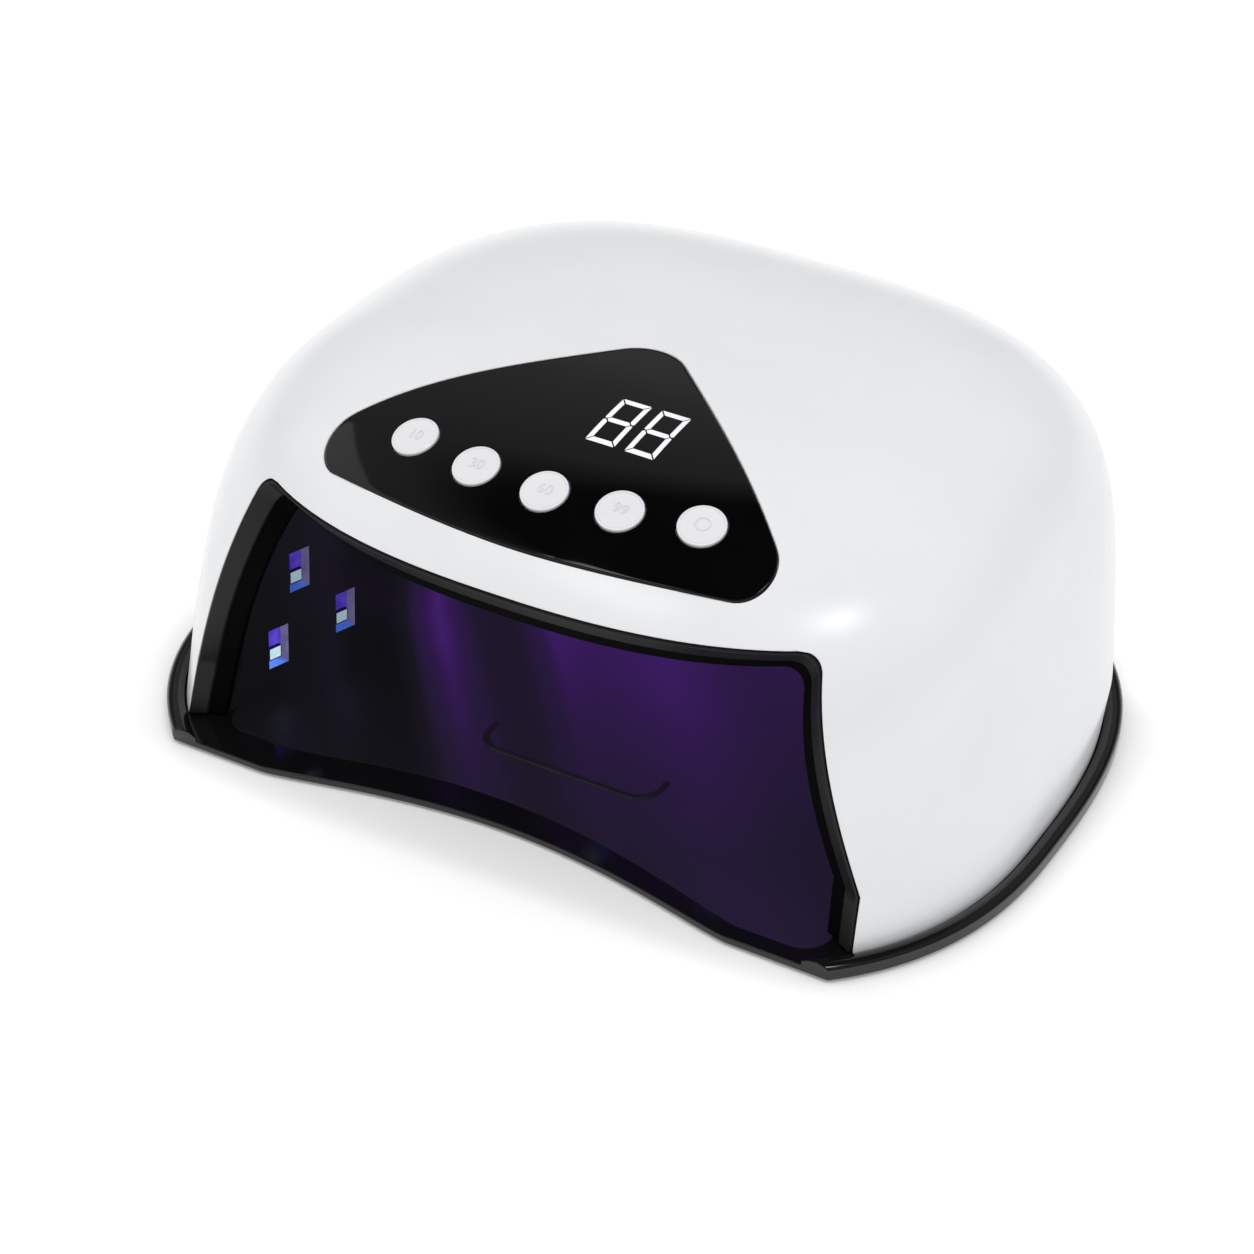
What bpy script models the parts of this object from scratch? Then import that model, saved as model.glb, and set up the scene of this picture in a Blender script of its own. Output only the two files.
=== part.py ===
"""UV curing lamp: a moulded dome over a lit hand chamber, standing on a lift-off tray.

Metres, +Z up. The origin is the middle of the footprint on the surface that the feet
stand on. The opening faces -Y.
"""

import math

import bmesh
import bpy
from mathutils import Matrix, Vector

# Overall sizes
TRAY_WIDTH = 0.230
TRAY_DEPTH = 0.175
LAMP_HEIGHT = 0.0918

# Clearances
SEAT_GAP = 0.0003            # between a piece and what it rests on or in
FLANGE_GAP = 0.0006          # round the chamber liner, inside the shell's wall
SLIDE_GAP = 0.0004           # round a piece that moves or is pushed in by hand

# Tray
TRAY_CORNER_INSET = 0.025    # of each front corner from the widest line's end
TRAY_WIDEST = 0.0652         # from the front corners back to the widest line
TRAY_FRONT_FULLNESS = 2.44   # superellipse powers of the plan outline
TRAY_BACK_FULLNESS = 2.76
TRAY_FLOOR = 0.0019
BEAD_WIDTH = 0.0042          # rounded rim round the shell
BEAD_HEIGHT = 0.0022
BEAD_SHOULDER = 0.0008       # straight outer side of the bead above the floor
SCOOP_LAND = 0.026           # straight edge from each front corner to the hollow in the front
SCOOP_DEPTH = 0.0097
SCOOP_POWER = 1.3

# Feet
FOOT_DIAMETER = 0.010
FOOT_THICKNESS = 0.0013
FOOT_PROUD = 0.0008
FOOT_FRONT_SIDE = 0.040      # from the tray's sides, at the widest line
FOOT_REAR_SIDE = 0.060
FOOT_FRONT_INSET = 0.012     # from the front corners' line
FOOT_REAR_INSET = 0.028      # from the back of the tray

# Reflector plate in the tray's floor
REFLECTOR_THICKNESS = 0.0006
REFLECTOR_MARGIN = 0.0095    # from the tray's front edge
REFLECTOR_CORNER = 0.007
REFLECTOR_CLEARANCE = 0.0012  # to the chamber's walls
RIDGE_WIDTH = 0.050          # finger stop pressed up in the plate
RIDGE_DEPTH = 0.010
RIDGE_SETBACK = 0.0335       # from the front corners' line
RIDGE_THICKNESS = 0.0012
RIDGE_RADIUS = 0.007
RIDGE_HEIGHT = 0.0005

# Dome of the shell
SHELL_WALL = 0.0026
CREASE_HEIGHT = 0.0152       # of the straight skirt, above the tray's underside
DOME_CENTRE = 0.0795         # from the tray's front corners back to the dome's middle
DOME_OVERHANG = 0.0065       # of the uncut dome in front of the tray
DOME_SIDE_TAPER = 0.07       # share of the width lost from crease to top
DOME_SIDE_PROFILE = 4.74     # superellipse powers of the upright profiles
DOME_FRONT_PROFILE = 2.90
DOME_BACK_PROFILE = 5.75
DOME_FRONT_FULLNESS = (3.13, 2.13)   # of the plan outline, at the crease and at the top
DOME_BACK_FULLNESS = (2.60, 3.06)

# Opening and its bezel
OPENING_PILLAR = 0.0241      # from the tray's widest line in to the opening, at the crease
OPENING_FLARE = 0.0007       # by which each side spreads from crease to foot
OPENING_LEAN = 0.0169        # by which each side draws in from crease to top
OPENING_HEAD = 0.0216        # from the opening's top edge up to the dome's top
OPENING_CORNER = 0.006
BEZEL_WIDTH = 0.0062
BEZEL_SLOPE = 0.0029         # how far its face falls back towards the chamber
BEZEL_DEPTH = 0.0062
BEZEL_PROUD = 0.0003

# Chamber liner
LINER_WALL = 0.0025
LINER_STEP = 0.0022          # its mouth stands inside the bezel by this much
LINER_TAPER = math.radians(20)
LINER_LEAN = 0.068           # inward lean of the walls, per unit of height
LINER_STRAIGHT = 0.0577      # length of the straight side walls
LINER_BACK = 0.0425          # of the rear wall, in front of the back of the tray
LINER_SWEEP = 0.040          # handles of the curve that joins side wall and rear wall
LINER_REAR_FLAT = 0.034
LINER_HEADROOM = 0.0015      # of the roof above the bezel's inner edge
LINER_ROOF_RADIUS = 0.010
FLANGE_THICKNESS = 0.0026
FLANGE_SETBACK = 0.0160      # of the flange behind the tray's front corners

# LEDs and their boards
LED_SIZE = 0.0035
LED_HEIGHT = 0.0012
LED_BEVEL = 0.0004
LED_DROP = 0.0029            # of a side chip below the middle of its window
WINDOW_WIDTH = 0.0065
WINDOW_HEIGHT = 0.0117
WINDOW_DRAFT = 0.0012        # by which a window narrows through the wall
SIDE_WINDOW_FRONT = 0.0099   # places along the wall from the chamber's mouth
SIDE_WINDOW_UPPER = 0.0165
SIDE_WINDOW_REAR = 0.0301
SIDE_WINDOW_RISE = 0.0207    # of the upper window above the front one
SIDE_WINDOW_STEP = 0.0022    # of the rear window above the front one
ROOF_WINDOW_SPREAD = 0.036
ROOF_WINDOW_PITCH = 0.026
ROOF_WINDOW_ROWS = 3
ROOF_WINDOW_SETBACK = 0.053  # of the first row behind the tray's front corners
LED_BOARD_MARGIN = 0.003
LED_BOARD_THICKNESS = 0.0012

# Control panel
PANEL_THICKNESS = 0.0011
PANEL_RECESS = 0.0014
PANEL_APEX = 0.0905          # sharp corners of its outline, from the tray's front
PANEL_CORNER = 0.0255
PANEL_NOSE = 0.0085
PANEL_CORNER_SPREAD = 0.1348
PANEL_APEX_RADIUS = 0.0095
PANEL_CORNER_RADIUS = 0.0090
PANEL_STRAIGHT = 0.0015      # left between the arcs of its front edge and of its corners

# Keys
BUTTON_COUNT = 5
BUTTON_PITCH = 0.0190
BUTTON_DIAMETER = 0.0114
BUTTON_ROW = 0.0286          # of the middle key, from the tray's front corners
BUTTON_ROW_RADIUS = 0.148
BUTTON_PROUD = 0.0003
BUTTON_CROWN = 0.0002
BUTTON_EDGE = 0.0004
BUTTON_TRAVEL = 0.0006
BUTTON_FLANGE = 0.0010       # width of the collar that holds a key in
BUTTON_FLANGE_THICKNESS = 0.0008
BUTTON_FLANGE_DROP = 0.0011  # of the collar below the shell's wall
BUTTON_STEM = 0.0050

# Control board
BOARD_TILT = math.radians(18.7)
BOARD_DROP = 0.0118          # of its top below the shell's surface at the middle key
BOARD_WIDTH = 0.104
BOARD_DEPTH = 0.022
BOARD_THICKNESS = 0.0014
BOARD_POST_INSET = 0.0045    # of the shell's posts from the board's ends
BOARD_POST_DIAMETER = 0.0036
SWITCH_SIZE = 0.0060
SWITCH_HEIGHT = 0.0034
PLUNGER_DIAMETER = 0.0034
PLUNGER_HEIGHT = 0.0010

# Display
DISPLAY_WIDTH = 0.038
DISPLAY_DEPTH = 0.017
DISPLAY_BORDER = 0.002       # of its case round the face, under the wall
DISPLAY_CASE_HEIGHT = 0.0040
DISPLAY_SETBACK = 0.0545     # from the tray's front corners
DISPLAY_SAG = 0.0005         # room for the curve of panel and wall over the flat module

# Power inlet, sensor, screws and magnets
JACK_HEIGHT = 0.0112
JACK_FLANGE_DIAMETER = 0.0105
JACK_FLANGE_THICKNESS = 0.0016
JACK_BODY_DIAMETER = 0.0080
JACK_BODY_LENGTH = 0.0115
JACK_BORE_DIAMETER = 0.0056
JACK_BORE_DEPTH = 0.0090
JACK_PIN_DIAMETER = 0.0020
SENSOR_DIAMETER = 0.0050
SENSOR_CROWN = 0.0010
SENSOR_COLLAR = 0.0012
SENSOR_COLLAR_THICKNESS = 0.0015
SENSOR_SETBACK = 0.0340      # from the tray's front corners
SCREW_DIAMETER = 0.0026
SCREW_HEAD_DIAMETER = 0.0056
SCREW_LENGTH = 0.0130
SCREW_RECESS = 0.0003
BOSS_DIAMETER = 0.0080
BOSS_HEIGHT = 0.0145
BOSS_INSET = 0.0046          # of its middle from the shell's inner wall
BOSS_REACH = 0.0007          # of its web into the wall
BOSS_ANGLES = (-16, 58)      # round the plan outline, in degrees
MAGNET_DIAMETER = 0.0080
MAGNET_THICKNESS = 0.0015
MAGNET_INSET = 0.0140        # from the shell's inner wall
KEEPER_DIAMETER = 0.0100
KEEPER_THICKNESS = 0.0008

# Facets
RING_STEPS = 72
DOME_LEVELS = 16
INNER_RING_STEPS = 48        # of the hidden surfaces inside the shell
INNER_DOME_LEVELS = 9
LEVEL_CROWDING = 0.55        # crowds the levels towards the dome's top as it falls below 1
PANEL_LOOPS = 5
RIM_STEPS = 48
SCOOP_STEPS = 20
ROUND_STEPS = 20
FILLET_STEPS = 5
BEZEL_FACET = 0.009          # longest stretch of the bezel between two sections
PANEL_FACET = 0.012          # and of the panel's edge between two points
FLATNESS = math.radians(0.05)   # bend of a face above which it is split
SHARPNESS = math.radians(32)    # bend between faces above which their edge stays sharp
SLOPE_STEP = 0.0005          # over which the dome's slope is measured
SLOPE_TURN = 0.02            # the same round its plan outline, in radians
CUT_OVERRUN = 0.002          # of a cutter past the faces that it goes through

# Places that follow from the sizes
FRONT_Y = -TRAY_DEPTH / 2
BACK_Y = TRAY_DEPTH / 2
FLOOR_Z = FOOT_PROUD + TRAY_FLOOR
BEAD_Z = FLOOR_Z + BEAD_HEIGHT
BODY_Z = FLOOR_Z + SEAT_GAP
CREASE_Z = FOOT_PROUD + CREASE_HEIGHT
OPENING_Z = LAMP_HEIGHT - OPENING_HEAD
OPENING_HALF = TRAY_WIDTH / 2 - OPENING_PILLAR
RIM_Y = FRONT_Y + TRAY_WIDEST
CORNER_SHARE = 1 - 2 * TRAY_CORNER_INSET / TRAY_WIDTH
RIM_FRONT = TRAY_WIDEST / (1 - CORNER_SHARE ** TRAY_FRONT_FULLNESS) ** (1 / TRAY_FRONT_FULLNESS)
RIM_BACK = TRAY_DEPTH - TRAY_WIDEST
SCOOP_HALF = TRAY_WIDTH / 2 - TRAY_CORNER_INSET - SCOOP_LAND
SHELL_INSET = BEAD_WIDTH + SLIDE_GAP
DOME_Y = FRONT_Y + DOME_CENTRE
DOME_HALF = TRAY_WIDTH / 2 - SHELL_INSET
DOME_FRONT = DOME_CENTRE + DOME_OVERHANG
DOME_BACK = BACK_Y - SHELL_INSET - DOME_Y
LINER_HALF = OPENING_HALF - SEAT_GAP - BEZEL_WIDTH - LINER_STEP
LINER_Y = FRONT_Y + FLANGE_SETBACK
LINER_ROOF_Z = OPENING_Z - SEAT_GAP - BEZEL_WIDTH + LINER_HEADROOM
LINER_BACK_Y = BACK_Y - LINER_BACK
FLANGE_Z = BODY_Z + FLANGE_THICKNESS


# Helpers for meshes and objects

def material(name, colour, roughness, metallic=0.0):
    """A plain Principled material; the colour is linear RGB."""
    finish = bpy.data.materials.new(name)
    finish.use_nodes = True
    shader = finish.node_tree.nodes["Principled BSDF"]
    shader.inputs["Base Color"].default_value = (*colour, 1.0)
    shader.inputs["Roughness"].default_value = roughness
    shader.inputs["Metallic"].default_value = metallic
    finish.diffuse_color = (*colour, 1.0)
    return finish


def add_object(name, shape, finish, place=None, parent=None):
    """Turn a bmesh into a named object with flat faces that point out."""
    bmesh.ops.connect_verts_nonplanar(shape, angle_limit=FLATNESS, faces=shape.faces[:])
    bmesh.ops.recalc_face_normals(shape, faces=shape.faces[:])
    mesh = bpy.data.meshes.new(name)
    shape.to_mesh(mesh)
    shape.free()
    mesh.shade_smooth()
    mesh.set_sharp_from_angle(angle=SHARPNESS)
    if finish:
        mesh.materials.append(finish)
    piece = bpy.data.objects.new(name, mesh)
    bpy.context.scene.collection.objects.link(piece)
    piece.parent = parent
    if place is not None:
        piece.matrix_world = place
    return piece


def combine(piece, shapes, operation, place=None):
    """Cut, join or intersect a piece with each bmesh in turn, and keep only the result."""
    for shape in shapes:
        tool = add_object("tool", shape, None, place)
        step = piece.modifiers.new(operation, "BOOLEAN")
        step.operation = operation
        step.solver = "EXACT"
        step.object = tool
        bpy.context.view_layer.update()
        graph = bpy.context.evaluated_depsgraph_get()
        result = bpy.data.meshes.new_from_object(piece.evaluated_get(graph))
        piece.modifiers.remove(step)
        spent = piece.data
        piece.data = result
        result.name = piece.name
        bpy.data.meshes.remove(spent)
        spent = tool.data
        bpy.data.objects.remove(tool)
        bpy.data.meshes.remove(spent)
    return piece


def ring(shape, points):
    return [shape.verts.new(point) for point in points]


def skin(shape, lower, upper):
    """Close the band between two loops of equal count."""
    count = len(lower)
    for i in range(count):
        j = (i + 1) % count
        shape.faces.new((lower[i], lower[j], upper[j], upper[i]))


def fan(shape, loop, tip):
    for i, vertex in enumerate(loop):
        shape.faces.new((vertex, loop[(i + 1) % len(loop)], tip))


def stack(levels):
    """Solid through a list of loops, with flat ends."""
    shape = bmesh.new()
    loops = [ring(shape, level) for level in levels]
    for lower, upper in zip(loops, loops[1:]):
        skin(shape, lower, upper)
    shape.faces.new(loops[0])
    shape.faces.new(loops[-1])
    return shape


def prism(outline, low, high):
    """Upright solid on a plan outline."""
    return stack([[(x, y, z) for x, y in outline] for z in (low, high)])


def circle(radius, steps=ROUND_STEPS):
    turns = [2 * math.pi * i / steps for i in range(steps)]
    return [(radius * math.cos(turn), radius * math.sin(turn)) for turn in turns]


def turned(profile, steps=ROUND_STEPS):
    """Solid turned about Z from (radius, height) pairs, whose ends lie on the axis."""
    shape = bmesh.new()
    loops = [ring(shape, [(x, y, z) for x, y in circle(r, steps)]) for r, z in profile[1:-1]]
    for lower, upper in zip(loops, loops[1:]):
        skin(shape, lower, upper)
    fan(shape, loops[0], shape.verts.new((0, 0, profile[0][1])))
    fan(shape, loops[-1], shape.verts.new((0, 0, profile[-1][1])))
    return shape


def crown(radius, low, rise):
    """Profile of a shallow cap from its edge to the axis, for a turned solid."""
    shares = (1.0, 0.5, 0.0)
    return [(radius * share, low + rise * (1 - share ** 2)) for share in shares]


def cylinder(diameter, low, high, steps=ROUND_STEPS):
    return prism(circle(diameter / 2, steps), low, high)


def block(size_x, size_y, low, high):
    half_x, half_y = size_x / 2, size_y / 2
    return prism([(-half_x, -half_y), (half_x, -half_y), (half_x, half_y), (-half_x, half_y)], low, high)


def moved(shape, matrix):
    bmesh.ops.transform(shape, matrix=matrix, verts=shape.verts[:])
    return shape


def merged(shapes):
    """Put shapes that don't touch each other into one, to be used as a single cutter."""
    whole = bmesh.new()
    for shape in shapes:
        mesh = bpy.data.meshes.new("loose")
        shape.to_mesh(mesh)
        shape.free()
        whole.from_mesh(mesh)
        bpy.data.meshes.remove(mesh)
    return whole


def axes(origin, across, up, out):
    """Matrix whose X, Y and Z columns are the given unit directions."""
    columns = Matrix((across, up, out)).transposed().to_4x4()
    return Matrix.Translation(origin) @ columns


def rounded(corners, radii):
    """Plan outline with each corner turned into an arc of its own radius."""
    points = []
    count = len(corners)
    for i, radius in enumerate(radii):
        here = Vector(corners[i])
        before = (Vector(corners[i - 1]) - here).normalized()
        after = (Vector(corners[(i + 1) % count]) - here).normalized()
        if radius == 0:
            points.append(tuple(here))
            continue
        half = before.angle(after) / 2
        middle = here + (before + after).normalized() * (radius / math.sin(half))
        first = here + before * (radius / math.tan(half)) - middle
        sweep = first.angle_signed(here + after * (radius / math.tan(half)) - middle)
        steps = max(FILLET_STEPS, int(abs(sweep) * radius / PANEL_FACET))
        for step in range(steps + 1):
            turn = Matrix.Rotation(-sweep * step / steps, 2)
            points.append(tuple(middle + turn @ first))
    return points


def grown(outline, distance):
    """Move each point of a counter-clockwise outline outwards along its normal."""
    result = []
    count = len(outline)
    for i, point in enumerate(outline):
        along = (Vector(outline[(i + 1) % count]) - Vector(outline[i - 1])).normalized()
        result.append((point[0] + along.y * distance, point[1] - along.x * distance))
    return result


# Outlines and surfaces that several pieces share

def superellipse(angle, middle_y, half, front, back, front_fullness, back_fullness):
    across = math.cos(angle)
    along = math.sin(angle)
    reach, fullness = (front, front_fullness) if along < 0 else (back, back_fullness)
    x = math.copysign(half * abs(across) ** (2 / fullness), across)
    y = middle_y + math.copysign(reach * abs(along) ** (2 / fullness), along)
    return x, y


def rim_point(angle, inset):
    return superellipse(angle, RIM_Y, TRAY_WIDTH / 2 - inset, RIM_FRONT - inset, RIM_BACK - inset,
                        TRAY_FRONT_FULLNESS, TRAY_BACK_FULLNESS)


def rim_path(inset):
    """Tray rim from the right front corner round the back to the left one."""
    start = -math.asin((TRAY_WIDEST / (RIM_FRONT - inset)) ** (TRAY_FRONT_FULLNESS / 2))
    sweep = math.pi - 2 * start
    return [rim_point(start + sweep * i / RIM_STEPS, inset) for i in range(RIM_STEPS + 1)]


def front_edge(x):
    """Y of the tray's scooped front edge."""
    share = min(1.0, abs(x) / SCOOP_HALF)
    return FRONT_Y + SCOOP_DEPTH * (1 - share ** 2) ** SCOOP_POWER


def scoop_points():
    """Front edge from left to right, across the scoop."""
    spread = [SCOOP_HALF * (2 * i / SCOOP_STEPS - 1) for i in range(SCOOP_STEPS + 1)]
    return [(x, front_edge(x)) for x in spread]


def fall(rise, power):
    return max(0.0, 1 - rise ** power) ** (1 / power)


def dome_section(z, inset):
    """Half width, front reach, back reach and the two plan powers of the dome at a height."""
    rise = min(1.0, max(0.0, (z - CREASE_Z) / (LAMP_HEIGHT - inset - CREASE_Z)))
    half = (DOME_HALF - inset) * (1 - DOME_SIDE_TAPER * rise) * fall(rise, DOME_SIDE_PROFILE)
    front = (DOME_FRONT - inset) * fall(rise, DOME_FRONT_PROFILE)
    back = (DOME_BACK - inset) * fall(rise, DOME_BACK_PROFILE)
    powers = [low + (high - low) * rise for low, high in (DOME_FRONT_FULLNESS, DOME_BACK_FULLNESS)]
    return half, front, back, powers[0], powers[1]


def shell_point(angle, z, inset):
    """Point of the shell's outline at a height: straight skirt below the crease, dome above."""
    dome = superellipse(angle, DOME_Y, *dome_section(z, inset))
    if z >= CREASE_Z:
        return dome
    foot = rim_point(angle, SHELL_INSET + inset)
    share = (z - BODY_Z) / (CREASE_Z - BODY_Z)
    return tuple(low + (high - low) * share for low, high in zip(foot, dome))


def shell_ring(z, inset, steps):
    return [shell_point(2 * math.pi * i / steps, z, inset) for i in range(steps)]


def dome_height(x, y, inset):
    """Z of the dome's surface over a plan point."""
    low, high = CREASE_Z, LAMP_HEIGHT - inset
    for _ in range(40):
        middle = (low + high) / 2
        half, front, back, front_power, back_power = dome_section(middle, inset)
        reach, power = (front, front_power) if y < DOME_Y else (back, back_power)
        outside = min(half, reach) <= 0 or (abs(x) / half) ** power + (abs(y - DOME_Y) / reach) ** power > 1
        low, high = (low, middle) if outside else (middle, high)
    return low


def dome_normal(x, y):
    step = SLOPE_STEP
    slope_x = (dome_height(x + step, y, 0) - dome_height(x - step, y, 0)) / (2 * step)
    slope_y = (dome_height(x, y + step, 0) - dome_height(x, y - step, 0)) / (2 * step)
    return Vector((-slope_x, -slope_y, 1)).normalized()


def front_surface(x, z):
    """Y of the shell's front surface at a point of the opening's edge."""
    low, high = -math.pi / 2, 0.0
    for _ in range(40):
        middle = (low + high) / 2
        low, high = (middle, high) if shell_point(middle, z, 0)[0] < abs(x) else (low, middle)
    return shell_point(low, z, 0)[1]


def opening_outline(inset, bottom):
    """Opening from its right foot over the top to its left foot, as (x, z) points."""
    lean = OPENING_LEAN / (OPENING_Z - CREASE_Z)
    side_inset = inset * math.hypot(1, lean)
    top = OPENING_Z - inset
    foot = OPENING_HALF + OPENING_FLARE - inset
    crease = OPENING_HALF - side_inset
    shoulder = crease - lean * (top - CREASE_Z)
    corners = [(foot, bottom), (crease, CREASE_Z), (shoulder, top),
               (-shoulder, top), (-crease, CREASE_Z), (-foot, bottom)]
    return rounded(corners, (0, 0, OPENING_CORNER, OPENING_CORNER, 0, 0))


def divided_like(points, pattern, longest):
    """Split one line at the same counts that another, of equal point count, is split at."""
    result = [points[0]]
    for i in range(len(points) - 1):
        count = max(1, math.ceil(math.dist(pattern[i], pattern[i + 1]) / longest - 1e-6))
        for step in range(1, count + 1):
            result.append(tuple(a + (b - a) * step / count for a, b in zip(points[i], points[i + 1])))
    return result


def liner_outline(offset):
    """Plan of the chamber's inner walls, grown by an offset; its mouth runs out past the tray."""
    slope = math.tan(LINER_TAPER)
    end = Vector((LINER_HALF - LINER_STRAIGHT * math.sin(LINER_TAPER),
                  LINER_Y + LINER_STRAIGHT * math.cos(LINER_TAPER)))
    end += Vector((math.cos(LINER_TAPER), math.sin(LINER_TAPER))) * offset
    mouth_y = FRONT_Y - DOME_OVERHANG - CUT_OVERRUN
    mouth = (end.x + (end.y - mouth_y) * slope, mouth_y)
    back = LINER_BACK_Y + offset
    handle = end + Vector((-math.sin(LINER_TAPER), math.cos(LINER_TAPER))) * LINER_SWEEP
    flat = Vector((LINER_REAR_FLAT, back))
    middle = Vector((0, back))
    side = [mouth]
    steps = 2 * FILLET_STEPS
    for i in range(steps):
        t = i / steps
        point = (end * (1 - t) ** 3 + handle * 3 * t * (1 - t) ** 2
                 + flat * 3 * t ** 2 * (1 - t) + middle * t ** 3)
        side.append(tuple(point))
    return side + [tuple(middle)] + [(-x, y) for x, y in reversed(side)]


def liner_plug(offset, low):
    """Solid of the chamber's inner space, grown by an offset."""
    roof = LINER_ROOF_Z + offset
    spring = roof - LINER_ROOF_RADIUS
    levels = [(low, 0.0)]
    for i in range(FILLET_STEPS + 1):
        turn = math.pi / 2 * i / FILLET_STEPS
        levels.append((spring + LINER_ROOF_RADIUS * math.sin(turn),
                       LINER_ROOF_RADIUS * (1 - math.cos(turn))))
    loops = []
    for z, inset in levels:
        lean = LINER_LEAN * (min(z, spring) - CREASE_Z)
        loops.append([(x, y, z) for x, y in liner_outline(offset - lean - inset)])
    return stack(loops)


def wall_place(side, along, rise):
    """Frame on the chamber's side wall: Z points into the chamber, Y up the wall."""
    back = Vector((-side * math.sin(LINER_TAPER), math.cos(LINER_TAPER), 0))
    inward = Vector((-side * math.cos(LINER_TAPER), -math.sin(LINER_TAPER), 0))
    up = (inward * LINER_LEAN + Vector((0, 0, 1))).normalized()
    out = (inward - Vector((0, 0, LINER_LEAN))).normalized()
    mouth = front_surface(OPENING_HALF, CREASE_Z) + BEZEL_DEPTH + SEAT_GAP
    half = LINER_HALF - (mouth - LINER_Y) * math.tan(LINER_TAPER)
    start = Vector((side * half, mouth, CREASE_Z))
    return axes(start + back * along + up * rise, up.cross(out), up, out)


def side_windows():
    """Places of the windows on a side wall, along it from the mouth and up it from the crease."""
    return [(SIDE_WINDOW_FRONT, 0.0), (SIDE_WINDOW_UPPER, SIDE_WINDOW_RISE),
            (SIDE_WINDOW_REAR, SIDE_WINDOW_STEP)]


def roof_place(x, y):
    """Frame on the chamber's roof: Z points down into the chamber."""
    return axes(Vector((x, y, LINER_ROOF_Z)), Vector((1, 0, 0)), Vector((0, -1, 0)), Vector((0, 0, -1)))


def panel_outline():
    """Rounded triangle with a bowed front edge, in plan."""
    nose = Vector((0, FRONT_Y + PANEL_NOSE))
    corner = Vector((PANEL_CORNER_SPREAD / 2, FRONT_Y + PANEL_CORNER))
    apex = Vector((0, FRONT_Y + PANEL_APEX))
    edge = corner - nose
    run = edge.length - PANEL_CORNER_RADIUS / math.tan(edge.angle(corner - apex) / 2) - PANEL_STRAIGHT
    front_radius = run * edge.x / edge.y
    corners = [tuple(nose), tuple(corner), tuple(apex), (-corner.x, corner.y)]
    plan = rounded(corners, (front_radius, PANEL_CORNER_RADIUS, PANEL_APEX_RADIUS, PANEL_CORNER_RADIUS))
    loop = plan + plan[:1]
    return divided_like(loop, loop, PANEL_FACET)[:-1]


def button_spot(index):
    """Plan place of a key in its curved row."""
    x = (index - (BUTTON_COUNT - 1) / 2) * BUTTON_PITCH
    y = FRONT_Y + BUTTON_ROW + BUTTON_ROW_RADIUS - math.sqrt(BUTTON_ROW_RADIUS ** 2 - x ** 2)
    return x, y


def surface_place(x, y, out):
    """Frame on the dome's surface with Z along the given direction."""
    across = Vector((0, 1, 0)).cross(out).normalized()
    return axes(Vector((x, y, dome_height(x, y, 0))), across, out.cross(across), out)


def button_place(index):
    x, y = button_spot(index)
    return surface_place(x, y, dome_normal(x, y))


def board_place():
    """Frame of the control board's top face, under the middle of the key row."""
    out = Vector((0, -math.sin(BOARD_TILT), math.cos(BOARD_TILT)))
    row = FRONT_Y + BUTTON_ROW
    return surface_place(0, row, out) @ Matrix.Translation((0, 0, -BOARD_DROP))


def switch_place(index):
    """Frame on the board's top face where a key's axis meets it."""
    key = button_place(index)
    board = board_place()
    axis = key.col[2].to_3d()
    normal = board.col[2].to_3d()
    reach = normal.dot(key.translation - board.translation) / normal.dot(axis)
    place = board.copy()
    place.translation = key.translation - axis * reach
    return place, reach


def display_place():
    y = FRONT_Y + DISPLAY_SETBACK
    return surface_place(0, y, dome_normal(0, y))


def jack_place():
    y = shell_point(math.pi / 2, JACK_HEIGHT, 0)[1]
    return axes(Vector((0, y, JACK_HEIGHT)), Vector((1, 0, 0)), Vector((0, 0, -1)), Vector((0, 1, 0)))


def boss_places():
    """Plan frames of the screw bosses: X points out to the shell's wall."""
    places = {}
    for end, degrees in zip(("front", "rear"), BOSS_ANGLES):
        for side, hand in ((-1, "left"), (1, "right")):
            angle = math.radians(degrees)
            wall = Vector((*shell_point(angle, CREASE_Z, SHELL_WALL), 0))
            ahead = Vector((*shell_point(angle + SLOPE_TURN, CREASE_Z, SHELL_WALL), 0))
            along = (ahead - wall).normalized()
            out = Vector((along.y, -along.x, 0))
            middle = wall - out * BOSS_INSET
            middle.x *= side
            out.x *= side
            places[f"{end}_{hand}"] = axes(middle, out, Vector((-out.y, out.x, 0)), Vector((0, 0, 1)))
    return places


def magnet_spots():
    x, y = shell_point(0, BODY_Z, SHELL_WALL + MAGNET_INSET)
    return {"left": (-x, y), "right": (x, y)}


# Tray and what is fixed to it

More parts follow.
